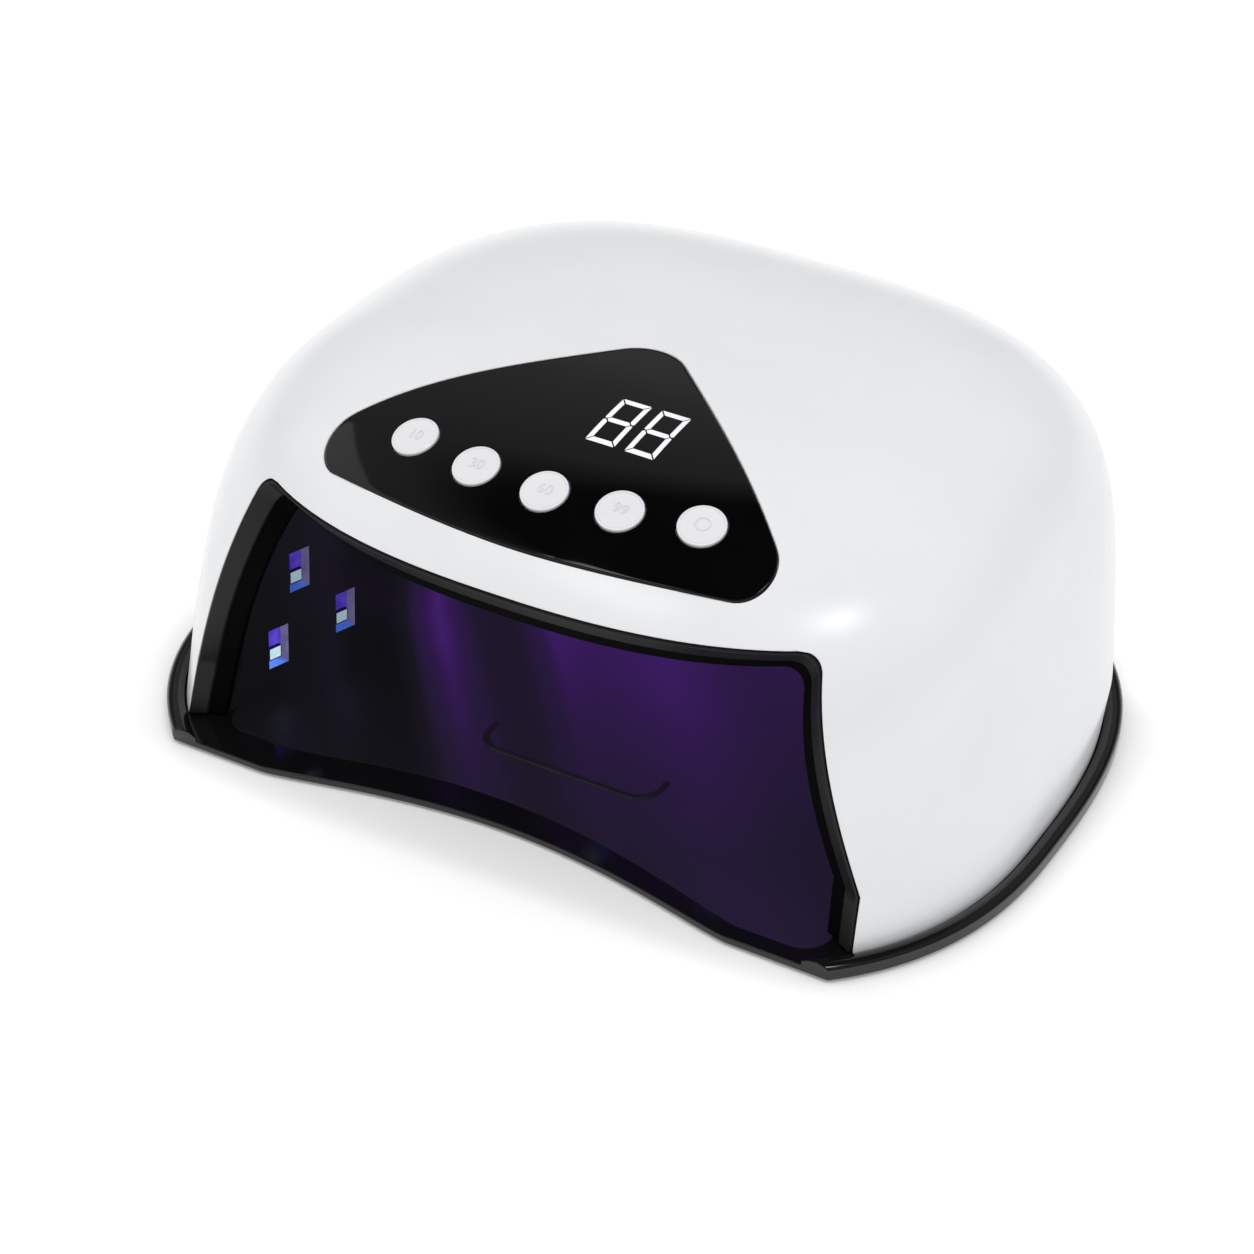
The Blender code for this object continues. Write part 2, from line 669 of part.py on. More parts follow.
def build_tray(finish):
    """Floor with a rounded bead round three sides and a scooped front edge."""
    profile = [(0.0, FOOT_PROUD)]
    for i in range(FILLET_STEPS + 1):
        turn = math.pi * i / FILLET_STEPS
        foot = FLOOR_Z + BEAD_SHOULDER
        profile.append((BEAD_WIDTH / 2 * (1 - math.cos(turn)), foot + (BEAD_Z - foot) * math.sin(turn)))
    profile.append((BEAD_WIDTH, FLOOR_Z))
    shape = bmesh.new()
    lines = [ring(shape, [(x, y, z) for x, y in rim_path(inset)]) for inset, z in profile]
    for lower, upper in zip(lines, lines[1:]):
        for i in range(RIM_STEPS):
            shape.faces.new((lower[i], lower[i + 1], upper[i + 1], upper[i]))
    low = ring(shape, [(x, y, FOOT_PROUD) for x, y in scoop_points()])
    high = ring(shape, [(x, y, FLOOR_Z) for x, y in scoop_points()])
    for i in range(SCOOP_STEPS):
        shape.faces.new((low[i], low[i + 1], high[i + 1], high[i]))
    shape.faces.new([low[-1]] + [line[0] for line in lines] + [high[-1]])
    shape.faces.new([low[0]] + [line[-1] for line in lines] + [high[0]])
    shape.faces.new(lines[0] + low)
    shape.faces.new(lines[-1] + high)
    tray = add_object("base_tray", shape, finish)

    pocket = FLOOR_Z - REFLECTOR_THICKNESS - SEAT_GAP
    cuts = [prism(grown(reflector_outline(), SEAT_GAP), pocket, FLOOR_Z + CUT_OVERRUN)]
    keeper_seat = FLOOR_Z - KEEPER_THICKNESS - SEAT_GAP
    keepers = []
    for x, y in magnet_spots().values():
        hole = cylinder(KEEPER_DIAMETER + 2 * SEAT_GAP, keeper_seat, FLOOR_Z + CUT_OVERRUN)
        keepers.append(moved(hole, Matrix.Translation((x, y, 0))))
    feet = []
    for x, y in foot_spots().values():
        hole = cylinder(FOOT_DIAMETER + 2 * SEAT_GAP, -CUT_OVERRUN, FOOT_THICKNESS + SEAT_GAP)
        feet.append(moved(hole, Matrix.Translation((x, y, 0))))
    return combine(tray, cuts + [merged(keepers), merged(feet)], "DIFFERENCE")


def reflector_outline():
    """Plan of the plate: the chamber's walls at the floor, and the tray's front edge set back."""
    walls = [point for point in liner_outline(-REFLECTOR_CLEARANCE) if point[1] > FRONT_Y]
    slope = math.tan(LINER_TAPER)
    corner_y = FRONT_Y + REFLECTOR_MARGIN
    corner_x = walls[0][0] + (walls[0][1] - corner_y) * slope
    front = [(x, y + REFLECTOR_MARGIN) for x, y in scoop_points()]
    corners = front + [(corner_x, corner_y)] + walls + [(-corner_x, corner_y)]
    radii = [0] * len(front) + [REFLECTOR_CORNER] + [0] * len(walls) + [REFLECTOR_CORNER]
    return rounded(corners, radii)


def ridge_outline():
    """U-shaped finger stop, open to the back, as a closed plan outline."""
    front = FRONT_Y + RIDGE_SETBACK
    half = RIDGE_WIDTH / 2
    back = front + RIDGE_DEPTH
    inner = half - RIDGE_THICKNESS
    corners = [(-half, back), (-half, front), (half, front), (half, back), (inner, back),
               (inner, front + RIDGE_THICKNESS), (-inner, front + RIDGE_THICKNESS), (-inner, back)]
    bend = RIDGE_RADIUS - RIDGE_THICKNESS
    return rounded(corners, (0, RIDGE_RADIUS, RIDGE_RADIUS, 0, 0, bend, bend, 0))


def build_reflector(finish):
    low = FLOOR_Z - REFLECTOR_THICKNESS
    plate = add_object("tray_reflector", prism(reflector_outline(), low, FLOOR_Z), finish)
    ridge = prism(ridge_outline(), FLOOR_Z - REFLECTOR_THICKNESS / 2, FLOOR_Z + RIDGE_HEIGHT)
    return combine(plate, [ridge], "UNION")


def foot_spots():
    front = FRONT_Y + FOOT_FRONT_INSET
    rear = BACK_Y - FOOT_REAR_INSET
    front_x = TRAY_WIDTH / 2 - FOOT_FRONT_SIDE
    rear_x = TRAY_WIDTH / 2 - FOOT_REAR_SIDE
    return {"front_left": (-front_x, front), "front_right": (front_x, front),
            "rear_left": (-rear_x, rear), "rear_right": (rear_x, rear)}


def build_feet(finish):
    radius = FOOT_DIAMETER / 2
    profile = [(0, 0), (radius - FOOT_PROUD / 2, 0), (radius, FOOT_PROUD / 2),
               (radius, FOOT_THICKNESS), (0, FOOT_THICKNESS)]
    for name, (x, y) in foot_spots().items():
        add_object(f"foot_{name}", turned(profile), finish, Matrix.Translation((x, y, 0)))


def build_keepers(finish):
    for name, (x, y) in magnet_spots().items():
        disc = cylinder(KEEPER_DIAMETER, FLOOR_Z - KEEPER_THICKNESS, FLOOR_Z)
        add_object(f"keeper_{name}", disc, finish, Matrix.Translation((x, y, 0)))


# Housing

def dome_solid(inset, bottom):
    """Solid dome at an inset from the shell's surface; coarser where it is hidden."""
    steps, levels = (INNER_RING_STEPS, INNER_DOME_LEVELS) if inset else (RING_STEPS, DOME_LEVELS)
    top = LAMP_HEIGHT - inset
    heights = [bottom, CREASE_Z]
    for i in range(1, levels):
        share = math.sin(math.pi / 2 * i / levels) ** LEVEL_CROWDING
        heights.append(CREASE_Z + (top - CREASE_Z) * share)
    shape = bmesh.new()
    loops = []
    for z in heights:
        plan = shell_ring(max(z, BODY_Z), inset, steps)
        loops.append(ring(shape, [(x, y, z) for x, y in plan]))
    for lower, upper in zip(loops, loops[1:]):
        skin(shape, lower, upper)
    fan(shape, loops[-1], shape.verts.new((0, DOME_Y, top)))
    shape.faces.new(loops[0])
    return shape


def opening_cutter():
    """Opening's outline run back through the front wall."""
    outline = opening_outline(0.0, BODY_Z - CUT_OVERRUN)
    front = RIM_Y - RIM_FRONT - CUT_OVERRUN
    return stack([[(x, y, z) for x, z in outline] for y in (front, DOME_Y)])


def panel_solid(outline, top_inset, bottom_inset):
    """Sheet that follows the dome between two depths; with no top inset it runs out above it."""
    middle = Vector((0, FRONT_Y + BUTTON_ROW))
    shares = [1 - i / PANEL_LOOPS for i in range(PANEL_LOOPS)]
    shape = bmesh.new()
    tips = []
    rims = []
    for inset in (bottom_inset, top_inset):
        def height(x, y):
            return LAMP_HEIGHT + CUT_OVERRUN if inset is None else dome_height(x, y, inset)
        loops = []
        for share in shares:
            plan = [middle + (Vector(point) - middle) * share for point in outline]
            loops.append(ring(shape, [(p.x, p.y, height(p.x, p.y)) for p in plan]))
        for outer, inner in zip(loops, loops[1:]):
            skin(shape, outer, inner)
        tips.append(shape.verts.new((middle.x, middle.y, height(middle.x, middle.y))))
        fan(shape, loops[-1], tips[-1])
        rims.append(loops[0])
    skin(shape, rims[0], rims[1])
    return shape


def boss_shape(place):
    """Screw boss with its web to the wall."""
    radius = BOSS_DIAMETER / 2
    steps = ROUND_STEPS // 2
    arc = [math.pi * (0.5 + i / steps) for i in range(steps + 1)]
    outline = [(radius * math.cos(turn), radius * math.sin(turn)) for turn in arc]
    web = BOSS_INSET + BOSS_REACH
    outline += [(web, -radius), (web, radius)]
    low = FLANGE_Z + SEAT_GAP
    return moved(prism(outline, low, low + BOSS_HEIGHT), place)


def board_post(x, y):
    """Post that hangs from the shell's wall and holds the control board."""
    place = board_place()
    foot = place @ Vector((x, y, SEAT_GAP))
    normal = place.col[2].to_3d()
    length = 0.0
    for _ in range(20):
        tip = foot + normal * length
        length += dome_height(tip.x, tip.y, (PANEL_RECESS + SHELL_WALL) / 2) - tip.z
    return moved(cylinder(BOARD_POST_DIAMETER, SEAT_GAP, SEAT_GAP + length, ROUND_STEPS // 2),
                 place @ Matrix.Translation((x, y, 0)))


def build_shell(finish, body):
    shell = add_object("top_shell", dome_solid(0.0, BODY_Z), finish, parent=body)
    combine(shell, [dome_solid(SHELL_WALL, BODY_Z - CUT_OVERRUN)], "DIFFERENCE")
    post_x = BOARD_WIDTH / 2 - BOARD_POST_INSET
    post_y = BOARD_DEPTH / 2 - BOARD_POST_INSET
    posts = [board_post(sx * post_x, sy * post_y) for sx in (-1, 1) for sy in (-1, 1)]
    bosses = [boss_shape(place) for place in boss_places().values()]
    combine(shell, [merged(posts), merged(bosses)], "UNION")

    recess = panel_solid(grown(panel_outline(), SEAT_GAP), None, PANEL_RECESS)
    bores = []
    for i in range(BUTTON_COUNT):
        depth = SHELL_WALL + 2 * CUT_OVERRUN
        bores.append(moved(cylinder(BUTTON_DIAMETER + 2 * SLIDE_GAP, -depth, CUT_OVERRUN), button_place(i)))
    window = block(DISPLAY_WIDTH + 2 * SEAT_GAP, DISPLAY_DEPTH + 2 * SEAT_GAP,
                   -SHELL_WALL - CUT_OVERRUN, CUT_OVERRUN)
    inlet = cylinder(JACK_BODY_DIAMETER + 2 * SEAT_GAP, -SHELL_WALL - CUT_OVERRUN, CUT_OVERRUN)
    pilots = []
    for place in boss_places().values():
        pilot = cylinder(SCREW_DIAMETER + 2 * SEAT_GAP, FLANGE_Z, BODY_Z + SCREW_LENGTH + CUT_OVERRUN)
        pilots.append(moved(pilot, place))
    holes = bores + pilots + [moved(window, display_place()), moved(inlet, jack_place())]
    return combine(shell, [opening_cutter(), recess, merged(holes)], "DIFFERENCE")


def opening_frame(corners):
    """Frame lofted round the opening from a section of (inset, depth) corners.

    An inset runs in from the opening's edge, a depth runs back from the shell's surface there.
    """
    bottom = BODY_Z + SEAT_GAP
    edge = opening_outline(SEAT_GAP, bottom)
    lanes = [divided_like(opening_outline(inset, bottom), edge, BEZEL_FACET) for inset, depth in corners]
    shape = bmesh.new()
    loops = []
    for i, (edge_x, edge_z) in enumerate(divided_like(edge, edge, BEZEL_FACET)):
        face = front_surface(edge_x, edge_z)
        section = []
        for lane, (inset, depth) in zip(lanes, corners):
            x, z = lane[i]
            section.append((x, face + depth, z))
        loops.append(ring(shape, section))
    for near, far in zip(loops, loops[1:]):
        skin(shape, near, far)
    shape.faces.new(loops[0])
    shape.faces.new(loops[-1])
    return shape


def build_bezel(finish, body):
    """Frame whose face slopes from the shell's surface back to the chamber."""
    inner = SEAT_GAP + BEZEL_WIDTH
    section = [(SEAT_GAP, -BEZEL_PROUD), (inner, BEZEL_SLOPE), (inner, BEZEL_DEPTH), (SEAT_GAP, BEZEL_DEPTH)]
    return add_object("front_bezel", opening_frame(section), finish, parent=body)


def mouth_cutter():
    """All that lies in front of the chamber's mouth, which follows the bezel's back."""
    far = RIM_FRONT
    outer = -2 * LINER_WALL
    inner = BEZEL_WIDTH + LINER_STEP + LINER_ROOF_RADIUS
    back = BEZEL_DEPTH + SEAT_GAP
    frame = opening_frame([(outer, -far), (inner, -far), (inner, back), (SEAT_GAP + BEZEL_WIDTH, back),
                           (SEAT_GAP, back), (outer, back)])
    low = [vertex for vertex in frame.verts if vertex.co.z < FLANGE_Z]
    bmesh.ops.translate(frame, vec=(0, 0, -CUT_OVERRUN), verts=low)
    return frame


def window_cutter(place):
    """Window through the chamber's wall that narrows outwards."""
    low, high = -LINER_WALL - CUT_OVERRUN, CUT_OVERRUN
    draft = WINDOW_DRAFT / LINER_WALL
    loops = []
    for z in (low, high):
        half_x = (WINDOW_WIDTH + draft * z) / 2
        half_y = (WINDOW_HEIGHT + draft * z) / 2
        loops.append([(-half_x, -half_y, z), (half_x, -half_y, z), (half_x, half_y, z), (-half_x, half_y, z)])
    return moved(stack(loops), place)


def roof_windows():
    first = FRONT_Y + ROOF_WINDOW_SETBACK
    return [(side * ROOF_WINDOW_SPREAD / 2, first + row * ROOF_WINDOW_PITCH)
            for row in range(ROOF_WINDOW_ROWS) for side in (-1, 1)]


def sensor_place():
    return roof_place(0, FRONT_Y + SENSOR_SETBACK)


def build_liner(finish, body):
    """Chamber walls and roof on a flange that closes the housing's underside."""
    low = BODY_Z - CUT_OVERRUN
    liner = add_object("inner_liner", liner_plug(LINER_WALL, low), finish, parent=body)
    combine(liner, [mouth_cutter()], "DIFFERENCE")
    flange = block(TRAY_WIDTH, BACK_Y - LINER_Y, low, FLANGE_Z)
    combine(liner, [moved(flange, Matrix.Translation((0, (BACK_Y + LINER_Y) / 2, 0)))], "UNION")
    combine(liner, [dome_solid(SHELL_WALL + FLANGE_GAP, BODY_Z)], "INTERSECT")
    windows = [wall_place(side, *spot) for side in (-1, 1) for spot in side_windows()]
    windows += [roof_place(x, y) for x, y in roof_windows()]
    eye = cylinder(SENSOR_DIAMETER + 2 * SEAT_GAP, -LINER_WALL - CUT_OVERRUN, CUT_OVERRUN)
    pockets = []
    for x, y in magnet_spots().values():
        pocket = cylinder(MAGNET_DIAMETER + 2 * SEAT_GAP, low, BODY_Z + MAGNET_THICKNESS + SEAT_GAP)
        pockets.append(moved(pocket, Matrix.Translation((x, y, 0))))
    holes = [moved(screw_solid(SEAT_GAP), place) for place in boss_places().values()]
    cuts = [liner_plug(0.0, low), merged([window_cutter(place) for place in windows]),
            moved(eye, sensor_place()), merged(pockets), merged(holes)]
    return combine(liner, cuts, "DIFFERENCE")


def screw_solid(clearance):
    """Countersunk screw, or with a clearance the hole for it, which runs out below."""
    head = SCREW_HEAD_DIAMETER / 2 + clearance
    shank = SCREW_DIAMETER / 2 + clearance
    low = BODY_Z + SCREW_RECESS
    neck = low + (SCREW_HEAD_DIAMETER - SCREW_DIAMETER) / 2
    start = BODY_Z - CUT_OVERRUN if clearance else low
    end = BODY_Z + SCREW_LENGTH + clearance
    return turned([(0, start), (head, start), (head, low + clearance / 2),
                   (shank, neck + clearance), (shank, end), (0, end)], ROUND_STEPS // 2)


def build_screws(finish, body):
    for name, place in boss_places().items():
        add_object(f"screw_{name}", screw_solid(0.0), finish, place, body)


def build_magnets(finish, body):
    low = BODY_Z + SEAT_GAP / 2
    for name, (x, y) in magnet_spots().items():
        disc = cylinder(MAGNET_DIAMETER, low, low + MAGNET_THICKNESS)
        add_object(f"magnet_{name}", disc, finish, Matrix.Translation((x, y, 0)), body)


# Lighting

def led_solid():
    half = LED_SIZE / 2
    top = half - LED_BEVEL
    corners = ((-1, -1), (1, -1), (1, 1), (-1, 1))
    levels = ((half, 0.0), (half, LED_HEIGHT - LED_BEVEL), (top, LED_HEIGHT))
    return stack([[(x * size, y * size, z) for x, y in corners] for size, z in levels])


def build_leds(finish, body):
    """Chips on their boards, one behind each window."""
    seat = -LINER_WALL
    for hand, side in (("left", -1), ("right", 1)):
        for i, (along, rise) in enumerate(side_windows()):
            place = wall_place(side, along, rise - LED_DROP) @ Matrix.Translation((0, 0, seat))
            add_object(f"led_{hand}_{i + 1}", led_solid(), finish, place, body)
    for i, (x, y) in enumerate(roof_windows()):
        place = roof_place(x, y) @ Matrix.Translation((0, 0, seat))
        add_object(f"led_roof_{i + 1}", led_solid(), finish, place, body)


def build_led_boards(finish, body):
    """Flat boards against the outside of the chamber's walls and roof."""
    top = -LINER_WALL - SEAT_GAP
    spots_along, spots_rise = zip(*side_windows())
    width = max(spots_along) - min(spots_along) + WINDOW_WIDTH + 2 * LED_BOARD_MARGIN
    height = max(spots_rise) - min(spots_rise) + WINDOW_HEIGHT + 2 * LED_BOARD_MARGIN
    along = (max(spots_along) + min(spots_along)) / 2
    rise = (max(spots_rise) + min(spots_rise)) / 2
    for hand, side in (("left", -1), ("right", 1)):
        board = block(width, height, top - LED_BOARD_THICKNESS, top)
        add_object(f"led_board_{hand}", board, finish, wall_place(side, along, rise), body)
    depth = (ROOF_WINDOW_ROWS - 1) * ROOF_WINDOW_PITCH
    board = block(ROOF_WINDOW_SPREAD + WINDOW_WIDTH + 2 * LED_BOARD_MARGIN,
                  depth + WINDOW_HEIGHT + 2 * LED_BOARD_MARGIN, top - LED_BOARD_THICKNESS, top)
    middle = FRONT_Y + ROOF_WINDOW_SETBACK + depth / 2
    add_object("led_board_roof", board, finish, roof_place(0, middle), body)


def build_sensor(finish, body):
    """Round sensor in the roof, on a collar above it."""
    radius = SENSOR_DIAMETER / 2
    collar = radius + SENSOR_COLLAR
    seat = -LINER_WALL - SEAT_GAP
    base = seat - SENSOR_COLLAR_THICKNESS
    profile = [(0, base), (collar, base), (collar, seat), (radius, seat)]
    profile += crown(radius, -SENSOR_CROWN, SENSOR_CROWN)
    add_object("hand_sensor", turned(profile), finish, sensor_place(), body)


# Controls

def build_panel(finish, body):
    sheet = panel_solid(panel_outline(), 0.0, PANEL_THICKNESS)
    panel = add_object("control_panel", sheet, finish, parent=body)
    depth = PANEL_THICKNESS + CUT_OVERRUN
    bores = []
    for i in range(BUTTON_COUNT):
        bores.append(moved(cylinder(BUTTON_DIAMETER + 2 * SLIDE_GAP, -depth, CUT_OVERRUN), button_place(i)))
    return combine(panel, [merged(bores)], "DIFFERENCE")


def build_buttons(finish, body):
    """Domed keys with a collar under the wall and a stem above the switch."""
    radius = BUTTON_DIAMETER / 2
    collar_top = -SHELL_WALL - BUTTON_FLANGE_DROP
    collar_low = collar_top - BUTTON_FLANGE_THICKNESS
    stem = BUTTON_STEM / 2
    for i in range(BUTTON_COUNT):
        reach = switch_place(i)[1]
        end = -reach + SWITCH_HEIGHT + PLUNGER_HEIGHT + SEAT_GAP + BUTTON_TRAVEL + SEAT_GAP
        profile = [(0, end), (stem, end), (stem, collar_low), (radius + BUTTON_FLANGE, collar_low),
                   (radius + BUTTON_FLANGE, collar_top), (radius, collar_top),
                   (radius, BUTTON_PROUD - BUTTON_EDGE)]
        profile += crown(radius - BUTTON_EDGE, BUTTON_PROUD, BUTTON_CROWN)
        add_object(f"button_{i + 1}", turned(profile), finish, button_place(i), body)


def build_control_board(finish, body):
    board = block(BOARD_WIDTH, BOARD_DEPTH, -BOARD_THICKNESS, 0.0)
    add_object("control_board", board, finish, board_place(), body)


def build_switches(finish, body):
    """Tact switches: a square case with a round plunger."""
    half = SWITCH_SIZE / 2
    radius = PLUNGER_DIAMETER / 2
    steps = 16
    low, top = SEAT_GAP, SEAT_GAP + SWITCH_HEIGHT
    for i in range(BUTTON_COUNT):
        shape = bmesh.new()
        square = []
        turn = [2 * math.pi * k / steps for k in range(steps)]
        for angle in turn:
            scale = half / max(abs(math.cos(angle)), abs(math.sin(angle)))
            square.append((scale * math.cos(angle), scale * math.sin(angle)))
        round_top = circle(radius, steps)
        loops = [ring(shape, [(x, y, z) for x, y in square]) for z in (low, top)]
        loops += [ring(shape, [(x, y, z) for x, y in round_top]) for z in (top, top + PLUNGER_HEIGHT)]
        for lower, upper in zip(loops, loops[1:]):
            skin(shape, lower, upper)
        shape.faces.new(loops[0])
        shape.faces.new(loops[-1])
        add_object(f"switch_{i + 1}", shape, finish, switch_place(i)[0], body)


def build_display(finish, body):
    """Display module: its face stands in the shell's window, its case lies under the wall."""
    face_top = -PANEL_THICKNESS - SEAT_GAP - DISPLAY_SAG
    case_top = -SHELL_WALL - SEAT_GAP - DISPLAY_SAG
    loops = []
    for border, z in ((DISPLAY_BORDER, case_top - DISPLAY_CASE_HEIGHT), (DISPLAY_BORDER, case_top),
                      (0.0, case_top), (0.0, face_top)):
        half_x, half_y = DISPLAY_WIDTH / 2 + border, DISPLAY_DEPTH / 2 + border
        loops.append([(-half_x, -half_y, z), (half_x, -half_y, z), (half_x, half_y, z), (-half_x, half_y, z)])
    add_object("display_module", stack(loops), finish, display_place(), body)


def build_jack(finish, body):
    """Round power inlet: collar outside the wall, bore with a centre pin."""
    collar = JACK_FLANGE_DIAMETER / 2
    barrel = JACK_BODY_DIAMETER / 2
    bore = JACK_BORE_DIAMETER / 2
    pin = JACK_PIN_DIAMETER / 2
    seat = SEAT_GAP
    mouth = seat + JACK_FLANGE_THICKNESS
    floor = mouth - JACK_BORE_DEPTH
    end = mouth - JACK_BODY_LENGTH
    profile = [(0, end), (barrel, end), (barrel, seat), (collar, seat), (collar, mouth),
               (bore, mouth), (bore, floor), (pin, floor), (pin, mouth - JACK_FLANGE_THICKNESS),
               (0, mouth - JACK_FLANGE_THICKNESS)]
    add_object("dc_jack", turned(profile), finish, jack_place(), body)


def main():
    for piece in list(bpy.data.objects):
        bpy.data.objects.remove(piece)
    gloss_white = material("gloss_white_abs", (0.80, 0.81, 0.83), 0.12)
    satin_black = material("satin_black_abs", (0.012, 0.012, 0.013), 0.38)
    gloss_black = material("gloss_black_acrylic", (0.004, 0.004, 0.005), 0.06)
    dark_gloss = material("dark_chamber_abs", (0.010, 0.009, 0.014), 0.20)
    key_white = material("key_white_abs", (0.76, 0.76, 0.77), 0.25)
    mirror = material("dark_mirror_film", (0.05, 0.03, 0.08), 0.15, 0.6)
    rubber = material("black_rubber", (0.02, 0.02, 0.02), 0.8)
    steel = material("zinc_plated_steel", (0.55, 0.56, 0.58), 0.35, 1.0)
    nickel = material("nickel_plated_magnet", (0.62, 0.60, 0.56), 0.25, 1.0)
    white_mask = material("white_circuit_board", (0.70, 0.70, 0.68), 0.4)
    green_mask = material("green_circuit_board", (0.01, 0.10, 0.04), 0.4)
    chip = material("led_chip", (0.55, 0.60, 0.75), 0.2)
    switch_black = material("switch_nylon", (0.02, 0.02, 0.02), 0.5)

    body = bpy.data.objects.new("lamp_body", None)
    bpy.context.scene.collection.objects.link(body)

    build_tray(satin_black)
    build_reflector(mirror)
    build_feet(rubber)
    build_keepers(steel)

    build_shell(gloss_white, body)
    build_bezel(satin_black, body)
    build_liner(dark_gloss, body)
    build_screws(steel, body)
    build_magnets(nickel, body)
    build_leds(chip, body)
    build_led_boards(white_mask, body)
    build_sensor(gloss_black, body)
    build_panel(gloss_black, body)
    build_buttons(key_white, body)
    build_control_board(green_mask, body)
    build_switches(switch_black, body)
    build_display(gloss_black, body)
    build_jack(satin_black, body)


main()
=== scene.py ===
"""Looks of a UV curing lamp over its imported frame.

Metres, +Z up, the opening faces -Y. The sizes are those of the part's source, so each new
piece lies where the solid that it stands for lies.
"""

import math

import bpy
import numpy as np
from mathutils import Matrix, Vector


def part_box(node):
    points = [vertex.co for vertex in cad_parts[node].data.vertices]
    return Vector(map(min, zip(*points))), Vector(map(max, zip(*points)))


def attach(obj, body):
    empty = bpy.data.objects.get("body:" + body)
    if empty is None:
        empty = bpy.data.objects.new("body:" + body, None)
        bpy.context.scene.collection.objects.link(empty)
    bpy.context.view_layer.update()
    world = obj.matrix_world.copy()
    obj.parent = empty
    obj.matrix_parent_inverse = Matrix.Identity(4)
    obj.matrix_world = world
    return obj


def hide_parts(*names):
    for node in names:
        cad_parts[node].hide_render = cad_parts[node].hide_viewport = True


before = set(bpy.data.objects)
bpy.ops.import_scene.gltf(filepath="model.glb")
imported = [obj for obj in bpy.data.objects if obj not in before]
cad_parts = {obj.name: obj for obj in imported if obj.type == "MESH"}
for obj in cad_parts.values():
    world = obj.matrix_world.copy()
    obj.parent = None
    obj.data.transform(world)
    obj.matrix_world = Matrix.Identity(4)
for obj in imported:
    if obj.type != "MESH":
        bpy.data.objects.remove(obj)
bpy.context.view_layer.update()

# Sizes shared with the solids
TRAY_WIDTH = 0.230
TRAY_DEPTH = 0.175
LAMP_HEIGHT = 0.0918
SEAT_GAP = 0.0003
FLANGE_GAP = 0.0006
SLIDE_GAP = 0.0004
TRAY_CORNER_INSET = 0.025
TRAY_WIDEST = 0.0652
TRAY_FULLNESS = (2.44, 2.76)
TRAY_FLOOR = 0.0019
BEAD_WIDTH = 0.0042
BEAD_HEIGHT = 0.0022
BEAD_SHOULDER = 0.0008
SCOOP_LAND = 0.026
SCOOP_DEPTH = 0.0097
SCOOP_POWER = 1.3
FOOT_DIAMETER = 0.010
FOOT_THICKNESS = 0.0013
FOOT_PROUD = 0.0008
REFLECTOR_THICKNESS = 0.0006
REFLECTOR_MARGIN = 0.0095
REFLECTOR_CORNER = 0.007
RIDGE_WIDTH = 0.050
RIDGE_DEPTH = 0.010
RIDGE_SETBACK = 0.0335
RIDGE_RADIUS = 0.007
RIDGE_HEIGHT = 0.0005
SHELL_WALL = 0.0026
CREASE_HEIGHT = 0.0152
DOME_CENTRE = 0.0795
DOME_OVERHANG = 0.0065
DOME_SIDE_TAPER = 0.07
DOME_SIDE_PROFILE = 4.74
DOME_FRONT_PROFILE = 2.90
DOME_BACK_PROFILE = 5.75
DOME_FRONT_FULLNESS = (3.13, 2.13)
DOME_BACK_FULLNESS = (2.60, 3.06)
OPENING_PILLAR = 0.0241
OPENING_FLARE = 0.0007
OPENING_LEAN = 0.0169
OPENING_HEAD = 0.0216
OPENING_CORNER = 0.006
BEZEL_WIDTH = 0.0062
BEZEL_SLOPE = 0.0029
BEZEL_DEPTH = 0.0062
BEZEL_PROUD = 0.0003
LINER_WALL = 0.0025
LINER_STEP = 0.0022
LINER_TAPER = math.radians(20)
LINER_LEAN = 0.068
LINER_STRAIGHT = 0.0577
LINER_BACK = 0.0425
LINER_SWEEP = 0.040
LINER_REAR_FLAT = 0.034
LINER_HEADROOM = 0.0015
LINER_ROOF_RADIUS = 0.010
FLANGE_THICKNESS = 0.0026
FLANGE_SETBACK = 0.0160
LED_SIZE = 0.0035
LED_HEIGHT = 0.0012
LED_DROP = 0.0029
WINDOW_HEIGHT = 0.0117
WINDOW_DRAFT = 0.0012
SIDE_WINDOWS = ((0.0099, 0.0), (0.0165, 0.0207), (0.0301, 0.0022))
ROOF_WINDOW_SPREAD = 0.036
ROOF_WINDOW_PITCH = 0.026
ROOF_WINDOW_ROWS = 3
ROOF_WINDOW_SETBACK = 0.053
PANEL_THICKNESS = 0.0011
PANEL_RECESS = 0.0014
PANEL_STRAIGHT = 0.0015
BUTTON_COUNT = 5
BUTTON_PITCH = 0.0190
BUTTON_DIAMETER = 0.0114
BUTTON_ROW = 0.0286
BUTTON_ROW_RADIUS = 0.148
BUTTON_PROUD = 0.0003
JACK_HEIGHT = 0.0112
JACK_FLANGE_DIAMETER = 0.0105
JACK_FLANGE_THICKNESS = 0.0016
JACK_BODY_DIAMETER = 0.0080
JACK_BODY_LENGTH = 0.0115
JACK_BORE_DIAMETER = 0.0056
JACK_BORE_DEPTH = 0.0090
JACK_PIN_DIAMETER = 0.0020
SENSOR_DIAMETER = 0.0050
SENSOR_CROWN = 0.0010
SENSOR_COLLAR = 0.0012
SENSOR_COLLAR_THICKNESS = 0.0015
SENSOR_SETBACK = 0.0340

